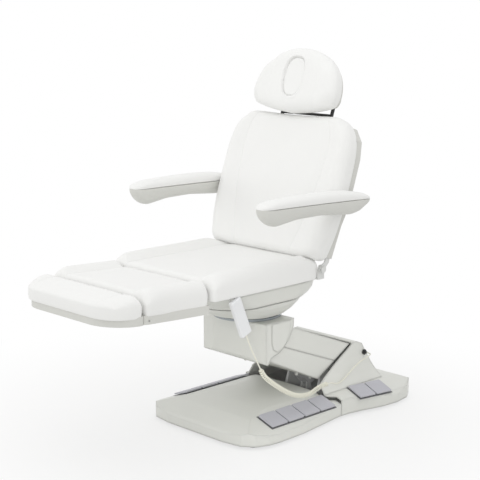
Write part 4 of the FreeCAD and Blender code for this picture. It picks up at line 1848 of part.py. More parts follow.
boss = Part.makeCylinder(float(S.arm_pin_radius + S.arm_boss_wall), float(boss_length),
                         Vector(0, 0, 0), X_AXIS)
arm_bore = Part.makeCylinder(float(S.arm_pin_radius + S.running_gap),
                             float(S.arm_pin_reach + S.hinge_gap + S.overrun),
                             Vector(-float(S.overrun), 0, 0), X_AXIS)
arm_shell_form = arm_outer.cut(arm_inner_form).fuse(boss.common(arm_outer)).cut(arm_bore)
arm_pad_form = shared(
    rounded(arm_pad_side, "yz", -S.overrun, wide + S.overrun),
    rounded(spread(PAD_CROSS_SHARES, wide, arm_rise), "xz", arm_far, arm_fore),
    rounded(arm_plan, "xy", *arm_tall))
for side, word in ((1, "left"), (-1, "right")):
    for kind, form in (("shell", arm_shell_form), ("pad", arm_pad_form)):
        shape = form.copy()
        if side < 0:
            shape = shape.mirror(Vector(), X_AXIS)
        item = feature(f"{word}_armrest_{kind}_form", shape)
        item.Placement = Placement(
            Vector(side * float(S.arm_rest_inner), float(arm_pivot_y), float(arm_pivot_z)),
            Rotation(Z_AXIS, -side * arm_toe))
        node(f"{word}_armrest_{kind}", item)

# Handset: a flat case with a raised key field, and a clip that hangs on the wire hook
handset_case = Part.makeBox(
    float(S.handset_thick), float(S.handset_width), float(S.handset_length),
    Vector(-float(S.handset_thick) / 2, -float(S.handset_width) / 2,
           -float(S.handset_length) / 2))
handset_case = handset_case.makeFillet(float(S.handset_round), handset_case.Edges)
keys = Part.makeBox(
    float(S.keypad_rise) * 2, float(S.handset_width) * 0.72, float(S.handset_length) * 0.72,
    Vector(float(S.handset_thick) / 2 - float(S.keypad_rise),
           -float(S.handset_width) * KEYPAD_SHARES[0],
           -float(S.handset_length) * KEYPAD_SHARES[1]))
clip_out = float(S.handset_clip_reach)
clip = Part.makeBox(
    clip_out + float(S.handset_round), float(S.handset_width) * 0.4, float(S.hook_radius) * 2,
    Vector(-float(S.handset_thick) / 2 - clip_out, -float(S.handset_width) * CLIP_PLACE_SHARES[0],
           float(S.handset_length) * CLIP_PLACE_SHARES[1]))
handset_item = feature("handset_form", handset_case.fuse(keys).fuse(clip))
handset_item.Placement = Placement(
    Vector(float(S.handset_x), float(S.handset_y), float(S.handset_z)),
    Rotation(X_AXIS, float(S.handset_lean)))
node("handset", handset_item)


def wire_tube(points, radius, label):
    """Tube of straight runs joined by tangent arcs along a route of chosen points."""
    spots = [Vector(*p) for p in points]
    edges, start, radii = [], spots[0], []
    for before, spot, after in zip(spots, spots[1:], spots[2:]):
        back, ahead = (before - spot), (after - spot)
        reach = 0.45 * min(back.Length, ahead.Length)
        turn_angle = pi - back.getAngle(ahead)
        radii.append(reach / tan(turn_angle / 2))
        back, ahead = back.normalize() * reach, ahead.normalize() * reach
        middle = spot + (back + ahead) * 0.5
        bisector = (back + ahead)
        arc_radius = radii[-1]
        centre = spot + bisector.normalize() * sqrt(reach ** 2 + arc_radius ** 2)
        middle = centre + (spot - centre).normalize() * arc_radius
        edges.append(Part.LineSegment(start, spot + back).toShape())
        edges.append(Part.Arc(spot + back, middle, spot + ahead).toShape())
        start = spot + ahead
    edges.append(Part.LineSegment(start, spots[-1]).toShape())
    path = Part.Wire(edges)
    first = (spots[1] - spots[0]).normalize()
    ring = Part.Wire(Part.Circle(spots[0], first, radius).toShape())
    tube = Part.BRepOffsetAPI.MakePipeShell(path)
    tube.add(ring)
    tube.build()
    tube.makeSolid()
    shape = tube.shape()
    if radii:
        least = min(radii)
        share = shape.Volume / (pi * radius ** 2 * path.Length)
        print(f"{label}: length {path.Length:.1f}, least radius {least:.1f}, "
              f"volume against section times length {share:.4f}")
    return shape


# Wire hook under the board's edge, with a level run that the handset's clip lies on
hook_x = float(S.handset_x) - float(S.handset_thick) / 2 - float(S.handset_clip_reach) / 2
clip_top_y = float(S.handset_y) - float(S.handset_length) * CLIP_PLACE_SHARES[1] * sin(
    radians(float(S.handset_lean)))
clip_top_z = float(S.handset_z) + float(S.handset_length) * CLIP_PLACE_SHARES[1] * cos(
    radians(float(S.handset_lean)))
hook_half = float(S.handset_width) * HOOK_SHARES[0]
hook_z = clip_top_z - float(S.hook_radius) - float(S.hook_drop)
hook_top = float(S.board_bottom)
hook_in = float(S.bracket_x) - float(S.hook_radius) * HOOK_SHARES[1]
hook_bend = (hook_top + hook_z) / 2
hook_route = [
    (hook_in, clip_top_y - hook_half, hook_top), (hook_in, clip_top_y - hook_half, hook_bend),
    (hook_x, clip_top_y - hook_half, hook_z), (hook_x, clip_top_y + hook_half, hook_z),
    (hook_in, clip_top_y + hook_half, hook_bend), (hook_in, clip_top_y + hook_half, hook_top)]
node("handset_hook", feature("handset_hook_form", wire_tube(
    hook_route, float(S.hook_radius), "handset hook")))

# Handset cord: its straight parts at the handset and at the gland
CORD_FROM_HANDSET = [(280.0, -207.4, 445.65), (280.0, -192.0, 408.8), (278.5, -171.5, 372.0),
                     (276.5, -150.5, 337.5), (275.0, -131.0, 304.0)]
CORD_TO_GLAND = [(229.0, 290.0, 145.0), (222.5, 320.0, 139.5), (214.0, 350.0, 128.0),
                 (206.0, 385.0, 121.5), (200.0, 420.0, 129.0), (197.0, 453.0, 145.0),
                 (197.0, 481.0, 162.0), (201.0, 505.0, 177.0), (208.0, 527.0, 189.5),
                 (215.0, 546.0, 198.0), (213.5, 564.0, 203.0), (202.0, 575.0, 203.0),
                 (186.3, 575.0, 203.0)]
cord_radius = float(S.cord_diameter) / 2
cord_tails = Part.makeCompound([
    wire_tube(CORD_FROM_HANDSET, cord_radius, "cord from the handset"),
    wire_tube(CORD_TO_GLAND, cord_radius, "cord to the gland")])
node("handset_cord_tails", feature("handset_cord_tails_form", cord_tails))

# Its curls: a helix about a smooth middle line, which starts and ends on that line
CURL_ROUTE = [(275.0, -131.0, 304.0), (273.5, -110.0, 270.0), (272.0, -69.0, 237.0),
              (267.0, 0.0, 190.0), (259.0, 82.0, 147.0), (249.0, 165.0, 133.0),
              (239.0, 232.0, 148.0), (229.0, 290.0, 145.0)]


def middle_line(points):
    """Quadratic spline with the points as its poles, and its ends on the first and last."""
    spans = len(points) - 2
    line = Part.BSplineCurve()
    line.buildFromPolesMultsKnots([Vector(*p) for p in points], [3] + [1] * (spans - 1) + [3],
                                  list(range(spans + 1)), False, 2)
    return line


def curly_tube(points, wire_radius, curl_radius, pitch, label):
    """One unbroken curly tube: quarter turns of a helix joined by pairs of tangent arcs."""
    line = middle_line(points)
    length = line.length()
    lead = wire_radius * 2
    turns = round((length - lead * 4) / pitch)
    steps = turns * 4
    side_way = Vector(1, 0, 0)

    def spot(step):
        """Place on the helix after some quarter turns, drawn in to the line at both ends."""
        along = lead * 2 + (length - lead * 4) * step / steps
        at = line.parameterAtDistance(along, line.FirstParameter)
        centre, ahead = line.value(at), line.tangent(at)[0]
        first = (side_way - ahead * side_way.dot(ahead)).normalize()
        second = ahead.cross(first)
        ends = min(step, steps - step) / 2
        reach = curl_radius * min(1.0, ends) ** 0.5 if ends < 1 else curl_radius
        angle = pi / 2 * step
        return centre + (first * cos(angle) + second * sin(angle)) * reach

    def heading(step):
        """Direction of the helix there, from places a little before and after."""
        if step <= 0:
            return line.tangent(line.FirstParameter)[0]
        if step >= steps:
            return line.tangent(line.LastParameter)[0]
        return (spot(step + 0.01) - spot(step - 0.01)).normalize()

    edges = []
    samples = []
    begin = line.value(line.FirstParameter)
    start_way = heading(0)
    here = begin + start_way * lead
    edges.append(Part.LineSegment(begin, here).toShape())
    way = start_way
    for step in list(range(1, steps)) + [steps]:
        if step == steps:
            end_way = heading(steps)
            there, next_way = line.value(line.LastParameter) - end_way * lead, end_way
        else:
            there, next_way = spot(step), heading(step)
        chord = there - here
        mixed = way + next_way
        base = 2 * (1 - way.dot(next_way))
        dot = chord.dot(mixed)
        if abs(base) < 1e-9:
            reach = chord.Length ** 2 / (2 * dot)
        else:
            reach = (-dot + sqrt(dot ** 2 + base * chord.Length ** 2)) / base
        joint = (here + there + (way - next_way) * reach) * 0.5
        for near, near_way, far in ((here, way, joint), (joint, None, there)):
            if near_way is None:
                near_way = ((there - next_way * reach) - (here + way * reach)).normalize()
            bow = far - near
            across = bow - near_way * bow.dot(near_way)
            if across.Length < 1e-4:
                edges.append(Part.LineSegment(near, far).toShape())
                continue
            radius = bow.Length ** 2 / (2 * across.Length)
            centre = near + across.normalize() * radius
            half = (near + far) * 0.5 - centre
            middle = centre + half.normalize() * radius
            edges.append(Part.Arc(near, middle, far).toShape())
            samples.extend([near, middle])
        here, way = there, next_way
    last = line.value(line.LastParameter)
    edges.append(Part.LineSegment(here, last).toShape())
    path = Part.Wire(edges)
    tube = Part.BRepOffsetAPI.MakePipeShell(path)
    tube.add(Part.Wire(Part.Circle(begin, start_way, wire_radius).toShape()))
    tube.build()
    tube.makeSolid()
    shape = tube.shape()
    least = min((samples[i] - samples[j]).Length for i in range(len(samples))
                for j in range(i + 12, min(i + 28, len(samples)))) - wire_radius * 2
    share = shape.Volume / (pi * wire_radius ** 2 * path.Length)
    print(f"{label}: {turns} curls, length {path.Length:.0f}, least gap to itself {least:.2f}, "
          f"volume against section times length {share:.4f}")
    return shape


node("handset_cord_curls", feature("handset_cord_curls_form", curly_tube(
    CURL_ROUTE, cord_radius, (float(S.curl_diameter) - float(S.cord_diameter)) / 2,
    float(S.curl_pitch), "curly cord")))

doc.recompute()
for item in doc.Objects:
    faults = [state for state in item.State if state in ("Invalid", "Error")]
    if faults:
        raise RuntimeError(f"{item.Name} could not be made: {faults}")
for label, thing in NODES.items():
    shape = thing.Shape
    if shape.isNull() or not shape.isValid() or not shape.Solids:
        raise RuntimeError(f"{label} has no sound shape")

os.makedirs("parts", exist_ok=True)
for label, thing in NODES.items():
    thing.Shape.exportStep(f"parts/{label}.step")
print(f"{len(NODES)} sub-parts written")
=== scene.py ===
"""Podiatry chair: camera, cord, cushions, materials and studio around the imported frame, in metres."""
import json
import bpy
import numpy as np
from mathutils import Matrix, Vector


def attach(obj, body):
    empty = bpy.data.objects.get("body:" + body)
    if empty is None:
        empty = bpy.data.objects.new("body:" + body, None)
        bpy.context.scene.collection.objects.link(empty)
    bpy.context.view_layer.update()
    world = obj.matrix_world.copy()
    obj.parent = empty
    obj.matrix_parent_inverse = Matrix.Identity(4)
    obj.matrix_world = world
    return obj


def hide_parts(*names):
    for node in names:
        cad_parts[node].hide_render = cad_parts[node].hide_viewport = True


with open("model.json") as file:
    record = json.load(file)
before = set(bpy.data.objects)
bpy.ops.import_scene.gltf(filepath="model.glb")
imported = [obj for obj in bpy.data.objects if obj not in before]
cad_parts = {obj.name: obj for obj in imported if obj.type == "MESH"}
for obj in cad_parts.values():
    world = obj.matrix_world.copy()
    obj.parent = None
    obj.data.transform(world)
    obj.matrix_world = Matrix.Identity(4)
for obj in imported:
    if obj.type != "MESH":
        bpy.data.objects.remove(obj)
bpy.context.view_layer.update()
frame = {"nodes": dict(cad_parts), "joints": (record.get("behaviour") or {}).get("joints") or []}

nodes = frame["nodes"]
hinges = {joint["name"]: joint.get("pos_m") for joint in frame["joints"]}

# Camera
# A long studio lens stands low in front of the chair and to the patient's left,
# as far off as the photograph's mild perspective asks for.
camera = bpy.data.objects.new("camera", bpy.data.cameras.new("camera"))
camera.data.lens = 92.66
camera.data.sensor_width = 36.0
camera.location = (3.2839, -3.1726, 1.5977)


def aim(thing, target):
    """Turns a camera or a lamp to look at the target, with its top up."""
    way = Vector(target) - thing.location
    thing.rotation_euler = way.to_track_quat("-Z", "Y").to_euler()


aim(camera, (0.0, 0.0369, 0.7146))
bpy.context.scene.collection.objects.link(camera)
bpy.context.scene.camera = camera

# Handset cord
# A round cream PVC lead of three low-voltage wires, wound hot on a rod so that it springs back
# in curls, with straight ends at the handset and at the gland in the rear cover's side.
cord_wire = 0.005
cord_sides = 10
curl_radius = 0.0070
curl_turns = 49
curl_ease = 0.012
steps_in_lead, steps_in_curl, steps_in_tail = 60, 22, 120
# The route's control points, in millimetres, from the handset's end to the gland.
cord_route = np.array([
    (280, -207.4, 445.65), (280, -192, 408.8), (278.5, -171.5, 372), (276.5, -150.5, 337.5),
    (275, -131, 304), (273.5, -110, 270), (272, -69, 237), (267, 0, 190), (259, 82, 147),
    (249, 165, 133), (239, 232, 148), (229, 290, 145), (222.5, 320, 139.5), (214, 350, 128),
    (206, 385, 121.5), (200, 420, 129), (197, 453, 145), (197, 481, 162), (201, 505, 177),
    (208, 527, 189.5), (215, 546, 198), (213.5, 564, 203), (202, 575, 203),
    (186.3, 575, 203)]) / 1000
curl_start, curl_end = cord_route[4], cord_route[11]


def smooth_step(t):
    """Rises from 0 to 1 over t from 0 to 1 as 3 t^2 - 2 t^3, and stays there outside."""
    t = np.clip(t, 0, 1)
    return t * t * (3 - 2 * t)


def unit(rows):
    """Each row divided by its own length."""
    return rows / np.linalg.norm(rows, axis=-1, keepdims=True)


def route_line(route):
    """Points along the order-3 NURBS line whose control points are the route's points."""
    curve = bpy.data.curves.new("handset_cord_route", "CURVE")
    curve.dimensions = "3D"
    curve.resolution_u = 40
    line = curve.splines.new("NURBS")
    line.points.add(len(route) - 1)
    line.points.foreach_set("co", np.c_[route, np.ones(len(route))].ravel())
    line.order_u = 3
    line.use_endpoint_u = True
    holder = bpy.data.objects.new("handset_cord_route", curve)
    mesh = bpy.data.meshes.new_from_object(holder)
    points = np.empty(len(mesh.vertices) * 3)
    mesh.vertices.foreach_get("co", points)
    bpy.data.objects.remove(holder)
    return points.reshape(-1, 3)


def new_mesh(name, points, faces):
    """A smooth-shaded mesh object at the origin from an array of points and arrays of faces."""
    mesh = bpy.data.meshes.new(name)
    mesh.from_pydata(points.tolist(), [], [f for block in faces for f in block.tolist()])
    mesh.validate()
    mesh.shade_smooth()
    made = bpy.data.objects.new(name, mesh)
    bpy.context.scene.collection.objects.link(made)
    return made


def ring_faces(rows, sides, clockwise=False):
    """Quads between neighbouring rings, and fans to the two end points that follow the rings.

    Point j of ring i has the number i sides + j. The faces look out where the rings run
    anticlockwise about the way from the first ring to the last, or else with clockwise set."""
    i, j = np.meshgrid(np.arange(rows - 1), np.arange(sides), indexing="ij")
    k = (j + 1) % sides
    quads = np.stack([i * sides + j, i * sides + k, (i + 1) * sides + k, (i + 1) * sides + j], -1)
    here = np.arange(sides)
    after = (here + 1) % sides
    first_end, last_ring = rows * sides, (rows - 1) * sides
    faces = [quads.reshape(-1, 4), np.stack([here * 0 + first_end, after, here], -1),
             np.stack([here * 0 + first_end + 1, last_ring + here, last_ring + after], -1)]
    return [np.roll(f[:, ::-1], 1, axis=1) for f in faces] if clockwise else faces


def tube(centre, toward, radius, sides):
    """Rings of points centre_i + radius (cos a_j side_i + sin a_j up_i), and the tube's faces.

    side_i is toward_i less its part along the line's own direction, and up_i crosses the two."""
    along = unit(np.gradient(centre, axis=0))
    side = unit(toward - (toward * along).sum(1, keepdims=True) * along)
    up = np.cross(along, side)
    angle = np.linspace(0, 2 * np.pi, sides, endpoint=False)
    rings = (centre[:, None] + radius * (np.cos(angle)[None, :, None] * side[:, None]
                                         + np.sin(angle)[None, :, None] * up[:, None]))
    points = np.r_[rings.reshape(-1, 3), centre[:1], centre[-1:]]
    return points, ring_faces(len(centre), sides)


def add_group(name, inputs, outputs):
    """An empty shader node group with float inputs {name: value} and outputs {name: socket type}."""
    group = bpy.data.node_groups.new(name, "ShaderNodeTree")
    for label, value in inputs.items():
        socket = group.interface.new_socket(label, in_out="INPUT", socket_type="NodeSocketFloat")
        socket.default_value = value
    for label, kind in outputs.items():
        group.interface.new_socket(label, in_out="OUTPUT", socket_type=kind)
    return group, group.nodes.new("NodeGroupInput"), group.nodes.new("NodeGroupOutput")


def add_node(tree, kind, links=None, **values):
    """A node of that kind with its settings, and its inputs linked from {input: output socket}."""
    made = tree.nodes.new(kind)
    for key, value in values.items():
        if key in made.inputs:
            made.inputs[key].default_value = value
        elif key.startswith("input_"):
            made.inputs[int(key[6:])].default_value = value
        else:
            setattr(made, key, value)
    for key, source in (links or {}).items():
        tree.links.new(source, made.inputs[key])
    return made


# Moulded grain: the fine orange peel of a moulded or sprayed surface, its slow drift of tone,
# and the softened look of its edges within a radius.
moulded_grain, grain_in, grain_out = add_group(
    "moulded_grain", {"Scale": 700.0, "Depth": 0.00005, "Drift": 0.02, "Round": 0.0},
    {"Normal": "NodeSocketVector", "Tone": "NodeSocketFloat"})
grain_place = add_node(moulded_grain, "ShaderNodeTexCoord")
grain_fine = add_node(moulded_grain, "ShaderNodeTexNoise",
                      {"Vector": grain_place.outputs["Object"], "Scale": grain_in.outputs["Scale"]},
                      Detail=2.0, Roughness=0.55)
grain_edge = add_node(moulded_grain, "ShaderNodeBevel", {"Radius": grain_in.outputs["Round"]},
                      samples=6)
grain_bump = add_node(moulded_grain, "ShaderNodeBump",
                      {"Height": grain_fine.outputs["Fac"], "Distance": grain_in.outputs["Depth"],
                       "Normal": grain_edge.outputs["Normal"]}, Strength=1.0)
grain_slow = add_node(moulded_grain, "ShaderNodeTexNoise",
                      {"Vector": grain_place.outputs["Object"]}, Scale=5.0, Detail=3.0)
grain_even = add_node(moulded_grain, "ShaderNodeMath", {0: grain_slow.outputs["Fac"]},
                      operation="SUBTRACT", input_1=0.5)
grain_tone = add_node(moulded_grain, "ShaderNodeMath",
                      {0: grain_even.outputs[0], 1: grain_in.outputs["Drift"]},
                      operation="MULTIPLY_ADD", input_2=1.0)
moulded_grain.links.new(grain_bump.outputs["Normal"], grain_out.inputs["Normal"])
moulded_grain.links.new(grain_tone.outputs[0], grain_out.inputs["Tone"])


def coloured(name, colour, group, sizes, **finish):
    """A Principled material: its colour times the group's Tone, its normal from the group."""
    made = bpy.data.materials.new(name)
    made.use_nodes = True
    tree = made.node_tree
    shader = tree.nodes["Principled BSDF"]
    for key, value in finish.items():
        shader.inputs[key.replace("_", " ")].default_value = value
    effect = add_node(tree, "ShaderNodeGroup", node_tree=group, **sizes)
    toned = add_node(tree, "ShaderNodeVectorMath", {1: effect.outputs["Tone"]},
                     operation="MULTIPLY", input_0=colour)
    tree.links.new(toned.outputs[0], shader.inputs["Base Color"])
    tree.links.new(effect.outputs["Normal"], shader.inputs["Normal"])
    return made


cord_line = route_line(cord_route)
cord_steps = np.r_[0, np.cumsum(np.linalg.norm(np.diff(cord_line, axis=0), axis=1))]
curl_from = cord_steps[np.argmin(np.linalg.norm(cord_line - curl_start, axis=1))]
curl_to = cord_steps[np.argmin(np.linalg.norm(cord_line - curl_end, axis=1))]
cord_places = np.unique(np.r_[
    np.linspace(0, curl_from, steps_in_lead),
    np.linspace(curl_from, curl_to, curl_turns * steps_in_curl),
    np.linspace(curl_to, cord_steps[-1], steps_in_tail)])
cord_middle = np.stack([np.interp(cord_places, cord_steps, cord_line[:, k]) for k in range(3)], 1)
cord_along = unit(np.gradient(cord_middle, cord_places, axis=0))
cord_side = unit(np.cross(cord_along, (0.7, 0.0, -0.7)))
cord_up = np.cross(cord_along, cord_side)
curl_angle = 2 * np.pi * curl_turns * (np.clip(cord_places, curl_from, curl_to) - curl_from) / (
    curl_to - curl_from)
curl_out = (smooth_step((cord_places - curl_from) / curl_ease)
            * smooth_step((curl_to - cord_places) / curl_ease))
cord_radial = (np.cos(curl_angle)[:, None] * cord_side + np.sin(curl_angle)[:, None] * cord_up)
cord_path = cord_middle + curl_radius * curl_out[:, None] * cord_radial
handset_cord = new_mesh("handset_cord", *tube(cord_path, cord_radial, cord_wire / 2, cord_sides))
cord_plastic = coloured("cord_plastic", (0.80, 0.79, 0.69), moulded_grain,
                        {"Scale": 900.0, "Depth": 0.00003, "Drift": 0.04},
                        Roughness=0.42, Specular_IOR_Level=0.5)
handset_cord.data.materials.append(cord_plastic)
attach(handset_cord, "base")
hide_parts("handset_cord_curls", "handset_cord_tails")

# Seat cushion
# Moulded foam on a board under white artificial leather: two side rolls, a flatter middle
# panel sewn between them, and a step down at the rear where the backrest comes in.
# A board or a hinge is (x, y, z). An outline's corners are (x, y, reach) on the board, a cross
# section has rows of (share across, share of the height), and a profile of (share along, same).
seat_board = (0.0, 0.0, 0.5879)
seat_height = 0.092
seat_outline = [(0, -0.363, 0), (0.283, -0.363, 0.022), (0.283, 0.219, 0.112), (0, 0.219, 0)]
seat_cross = [(0, 0.80), (0.50, 0.795), (0.64, 0.775), (0.70, 0.735), (0.745, 0.84), (0.80, 0.97),
              (0.86, 1.03), (1.0, 1.03)]
seat_profile = [(0, 1.12), (0.76, 1.12), (0.81, 1.0), (0.87, 0.83), (0.91, 0.80), (1.0, 0.79)]
seam_share = 0.70
seam_columns = np.array([0, -0.008, 0.008, -0.02, 0.02])
cross_blur, profile_blur, split_blur, crown_blend = 0.022, 0.02, 0.06, 0.02
widest_share = 0.42
# A fullness is the power of a rolled edge: 2 is round, and more is squarer.
roll_fullness = 2.35
under_roll, under_fullness = 0.004, 2.4
groove_half = 0.003
pucker_pitch, pucker_reach, pucker_height = 0.017, 0.007, 0.00018
swell_height = 0.0005
thread_from, thread_sink, thread_radius, thread_sides = 0.60, 0.0002, 0.0006, 6

# Leather grain: small cells and folds pressed into the coat, and a slow drift of tone.
leather_grain, hide_in, hide_out = add_group(
    "leather_grain", {"Scale": 620.0, "Depth": 0.00012, "Drift": 0.02},
    {"Normal": "NodeSocketVector", "Tone": "NodeSocketFloat"})
hide_place = add_node(leather_grain, "ShaderNodeTexCoord")
hide_bend = add_node(leather_grain, "ShaderNodeTexNoise",
                     {"Vector": hide_place.outputs["Object"]}, Scale=60.0, Detail=2.0)
hide_moved = add_node(leather_grain, "ShaderNodeVectorMath",
                      {0: hide_bend.outputs["Color"], 2: hide_place.outputs["Object"]},
                      operation="MULTIPLY_ADD", input_1=(0.006, 0.006, 0.006))
hide_cells = add_node(leather_grain, "ShaderNodeTexVoronoi",
                      {"Vector": hide_moved.outputs[0], "Scale": hide_in.outputs["Scale"]},
                      feature="SMOOTH_F1", Smoothness=0.35)
hide_folds = add_node(leather_grain, "ShaderNodeTexNoise",
                      {"Vector": hide_place.outputs["Object"]}, Scale=110.0, Detail=4.0,
                      Roughness=0.6)
hide_height = add_node(leather_grain, "ShaderNodeMath",
                       {0: hide_folds.outputs["Fac"], 2: hide_cells.outputs["Distance"]},
                       operation="MULTIPLY_ADD", input_1=0.8)
hide_bump = add_node(leather_grain, "ShaderNodeBump",
                     {"Height": hide_height.outputs[0], "Distance": hide_in.outputs["Depth"]},
                     Strength=0.8)
hide_slow = add_node(leather_grain, "ShaderNodeTexNoise",
                     {"Vector": hide_place.outputs["Object"]}, Scale=9.0, Detail=4.0)
hide_even = add_node(leather_grain, "ShaderNodeMath", {0: hide_slow.outputs["Fac"]},
                     operation="SUBTRACT", input_1=0.5)
hide_tone = add_node(leather_grain, "ShaderNodeMath",
                     {0: hide_even.outputs[0], 1: hide_in.outputs["Drift"]},
                     operation="MULTIPLY_ADD", input_2=1.0)
leather_grain.links.new(hide_bump.outputs["Normal"], hide_out.inputs["Normal"])
leather_grain.links.new(hide_tone.outputs[0], hide_out.inputs["Tone"])
white_leather = coloured("white_leather", (0.86, 0.86, 0.845), leather_grain,
                         {"Scale": 620.0, "Depth": 0.00012, "Drift": 0.02},
                         Roughness=0.52, Specular_IOR_Level=0.42, Sheen_Weight=0.05)
seam_thread = coloured("seam_thread", (0.80, 0.80, 0.785), moulded_grain,
                       {"Scale": 900.0, "Depth": 0.0002, "Drift": 0.06}, Roughness=0.7)


def bent_line(corners, steps=14):
    """A line through the corners (x, y, reach), and the place in it of each corner's middle.

    Within reach of a corner it is (1-t)^2 before + 2 t (1-t) corner + t^2 after. Two reaches
    that are longer together than the run between them are both cut down to it."""
    spots = np.array([c[:2] for c in corners], float)
    reach = np.array([c[2] for c in corners], float)
    run = np.linalg.norm(np.diff(spots, axis=0), axis=1)
    fit = np.minimum(1, run / np.maximum(reach[:-1] + reach[1:], 1e-9))
    reach[1:-1] *= np.minimum(fit[:-1], fit[1:])
    t = np.linspace(0, 1, steps)[:, None]
    line, middles = [spots[:1]], [0]
    for k in range(1, len(corners) - 1):
        before = spots[k] + unit(spots[k - 1] - spots[k]) * reach[k]
        after = spots[k] + unit(spots[k + 1] - spots[k]) * reach[k]
        middles.append(sum(map(len, line)) + steps // 2)
        line.append((1 - t) ** 2 * before + 2 * t * (1 - t) * spots[k] + t ** 2 * after)
    middles.append(sum(map(len, line)))
    return np.concatenate(line + [spots[-1:]]), middles


def along_line(line, shares):
    """The points at those shares of a line's length."""
    steps = np.r_[0, np.cumsum(np.linalg.norm(np.diff(line, axis=0), axis=1))]
    return np.stack([np.interp(shares * steps[-1], steps, line[:, k]) for k in range(2)], -1)


def blurred(points, at, blur):
    """Straight lines between the points, blurred by a bell curve of that width."""
    past, step, count, tail = 0.3, 0.001, 1601, 160
    fine = np.linspace(-past, 1 + past, count)
    height = np.interp(fine, *np.array(points, float).T)
    bell = np.exp(-((np.arange(-tail, tail + 1) * step / blur) ** 2) / 2)
    height = np.convolve(np.pad(height, tail, "edge"), bell / bell.sum(), "valid")
    return np.interp(at, fine, height)


def distance(line, plan):
    """Distance from each point of the plan to the line."""
    points, start, step = plan.reshape(-1, 2), line[:-1], np.diff(line, axis=0)
    length = np.maximum((step ** 2).sum(1), 1e-12)
    apart = points[:, None] - start[None]
    share = np.clip((apart * step).sum(-1) / length, 0, 1)
    gap = np.linalg.norm(apart - share[..., None] * step, axis=-1)
    return gap.min(1).reshape(plan.shape[:2])


def roll(share, power):
    """A round edge: (1 - (1 - share)^power)^(1 / power), and 1 past the edge's reach."""
    return (1 - (1 - np.clip(share, 0, 1)) ** power) ** (1 / power)


def lowest_of(a, b, blend):
    """The lower of two heights with a soft change-over: -blend log(exp(-a/blend) + exp(-b/blend))."""
    return -blend * np.log(np.exp(-a / blend) + np.exp(-b / blend))


def swell(x, y):
    """Slow waves of the foam: sin(31x + 1.3) sin(23y + 0.4) + 0.6 sin(57x + 2.1) sin(49y + 1.7)."""
    return (np.sin(x * 31 + 1.3) * np.sin(y * 23 + 0.4)
            + 0.6 * np.sin(x * 57 + 2.1) * np.sin(y * 49 + 1.7))


def coons(near_line, side_line, far_line, u, v):
    """A half plan between its borders, at the shares u across (a grid) and v along (a row).

    (1-u) middle + u side + (1-v) near + v far, less the corners weighed by both shares."""
    ends_near = along_line(near_line, u.ravel()).reshape(u.shape + (2,))
    ends_far = along_line(far_line, u.ravel()).reshape(u.shape + (2,))
    sides = along_line(side_line, v)
    start_near, start_far = near_line[0], far_line[0]
    middle = (1 - v)[:, None] * start_near + v[:, None] * start_far
    u, v = u[..., None], v[:, None, None]
    return ((1 - u) * middle[:, None] + u * sides[:, None] + (1 - v) * ends_near
            + v * ends_far - (1 - u) * (1 - v) * start_near - (1 - u) * v * start_far
            - u * (1 - v) * near_line[-1] - u * v * far_line[-1])


def mirrored(values, sign=1):
    """A half grid's values, with their copies times sign on the other side of its first column."""
    return np.concatenate([values[:, :0:-1] * sign, values], 1)


def grid_quads(number):
    """Quads of a grid of point numbers, facing up where its columns run to +X and rows to +Y."""
    return np.stack([number[:-1, :-1], number[:-1, 1:], number[1:, 1:], number[1:, :-1]],
                    -1).reshape(-1, 4)


def closed_skin(plan, upper, lower):
    """Points and faces of the skin over and under a mirrored half plan; its border is shared."""
    wide = mirrored(plan, np.array([-1.0, 1.0]))
    top_points = np.dstack([wide, mirrored(upper)])
    under_points = np.dstack([wide, mirrored(lower)])
    number = np.arange(wide[..., 0].size).reshape(wide.shape[:2])
    inner = np.zeros(number.shape, bool)
    inner[1:-1, 1:-1] = True
    under_number = number.copy()
    under_number[inner] = number.size + np.arange(inner.sum())
    points = np.r_[top_points.reshape(-1, 3), under_points[inner]]
    return points, [grid_quads(number), grid_quads(under_number)[:, ::-1]]


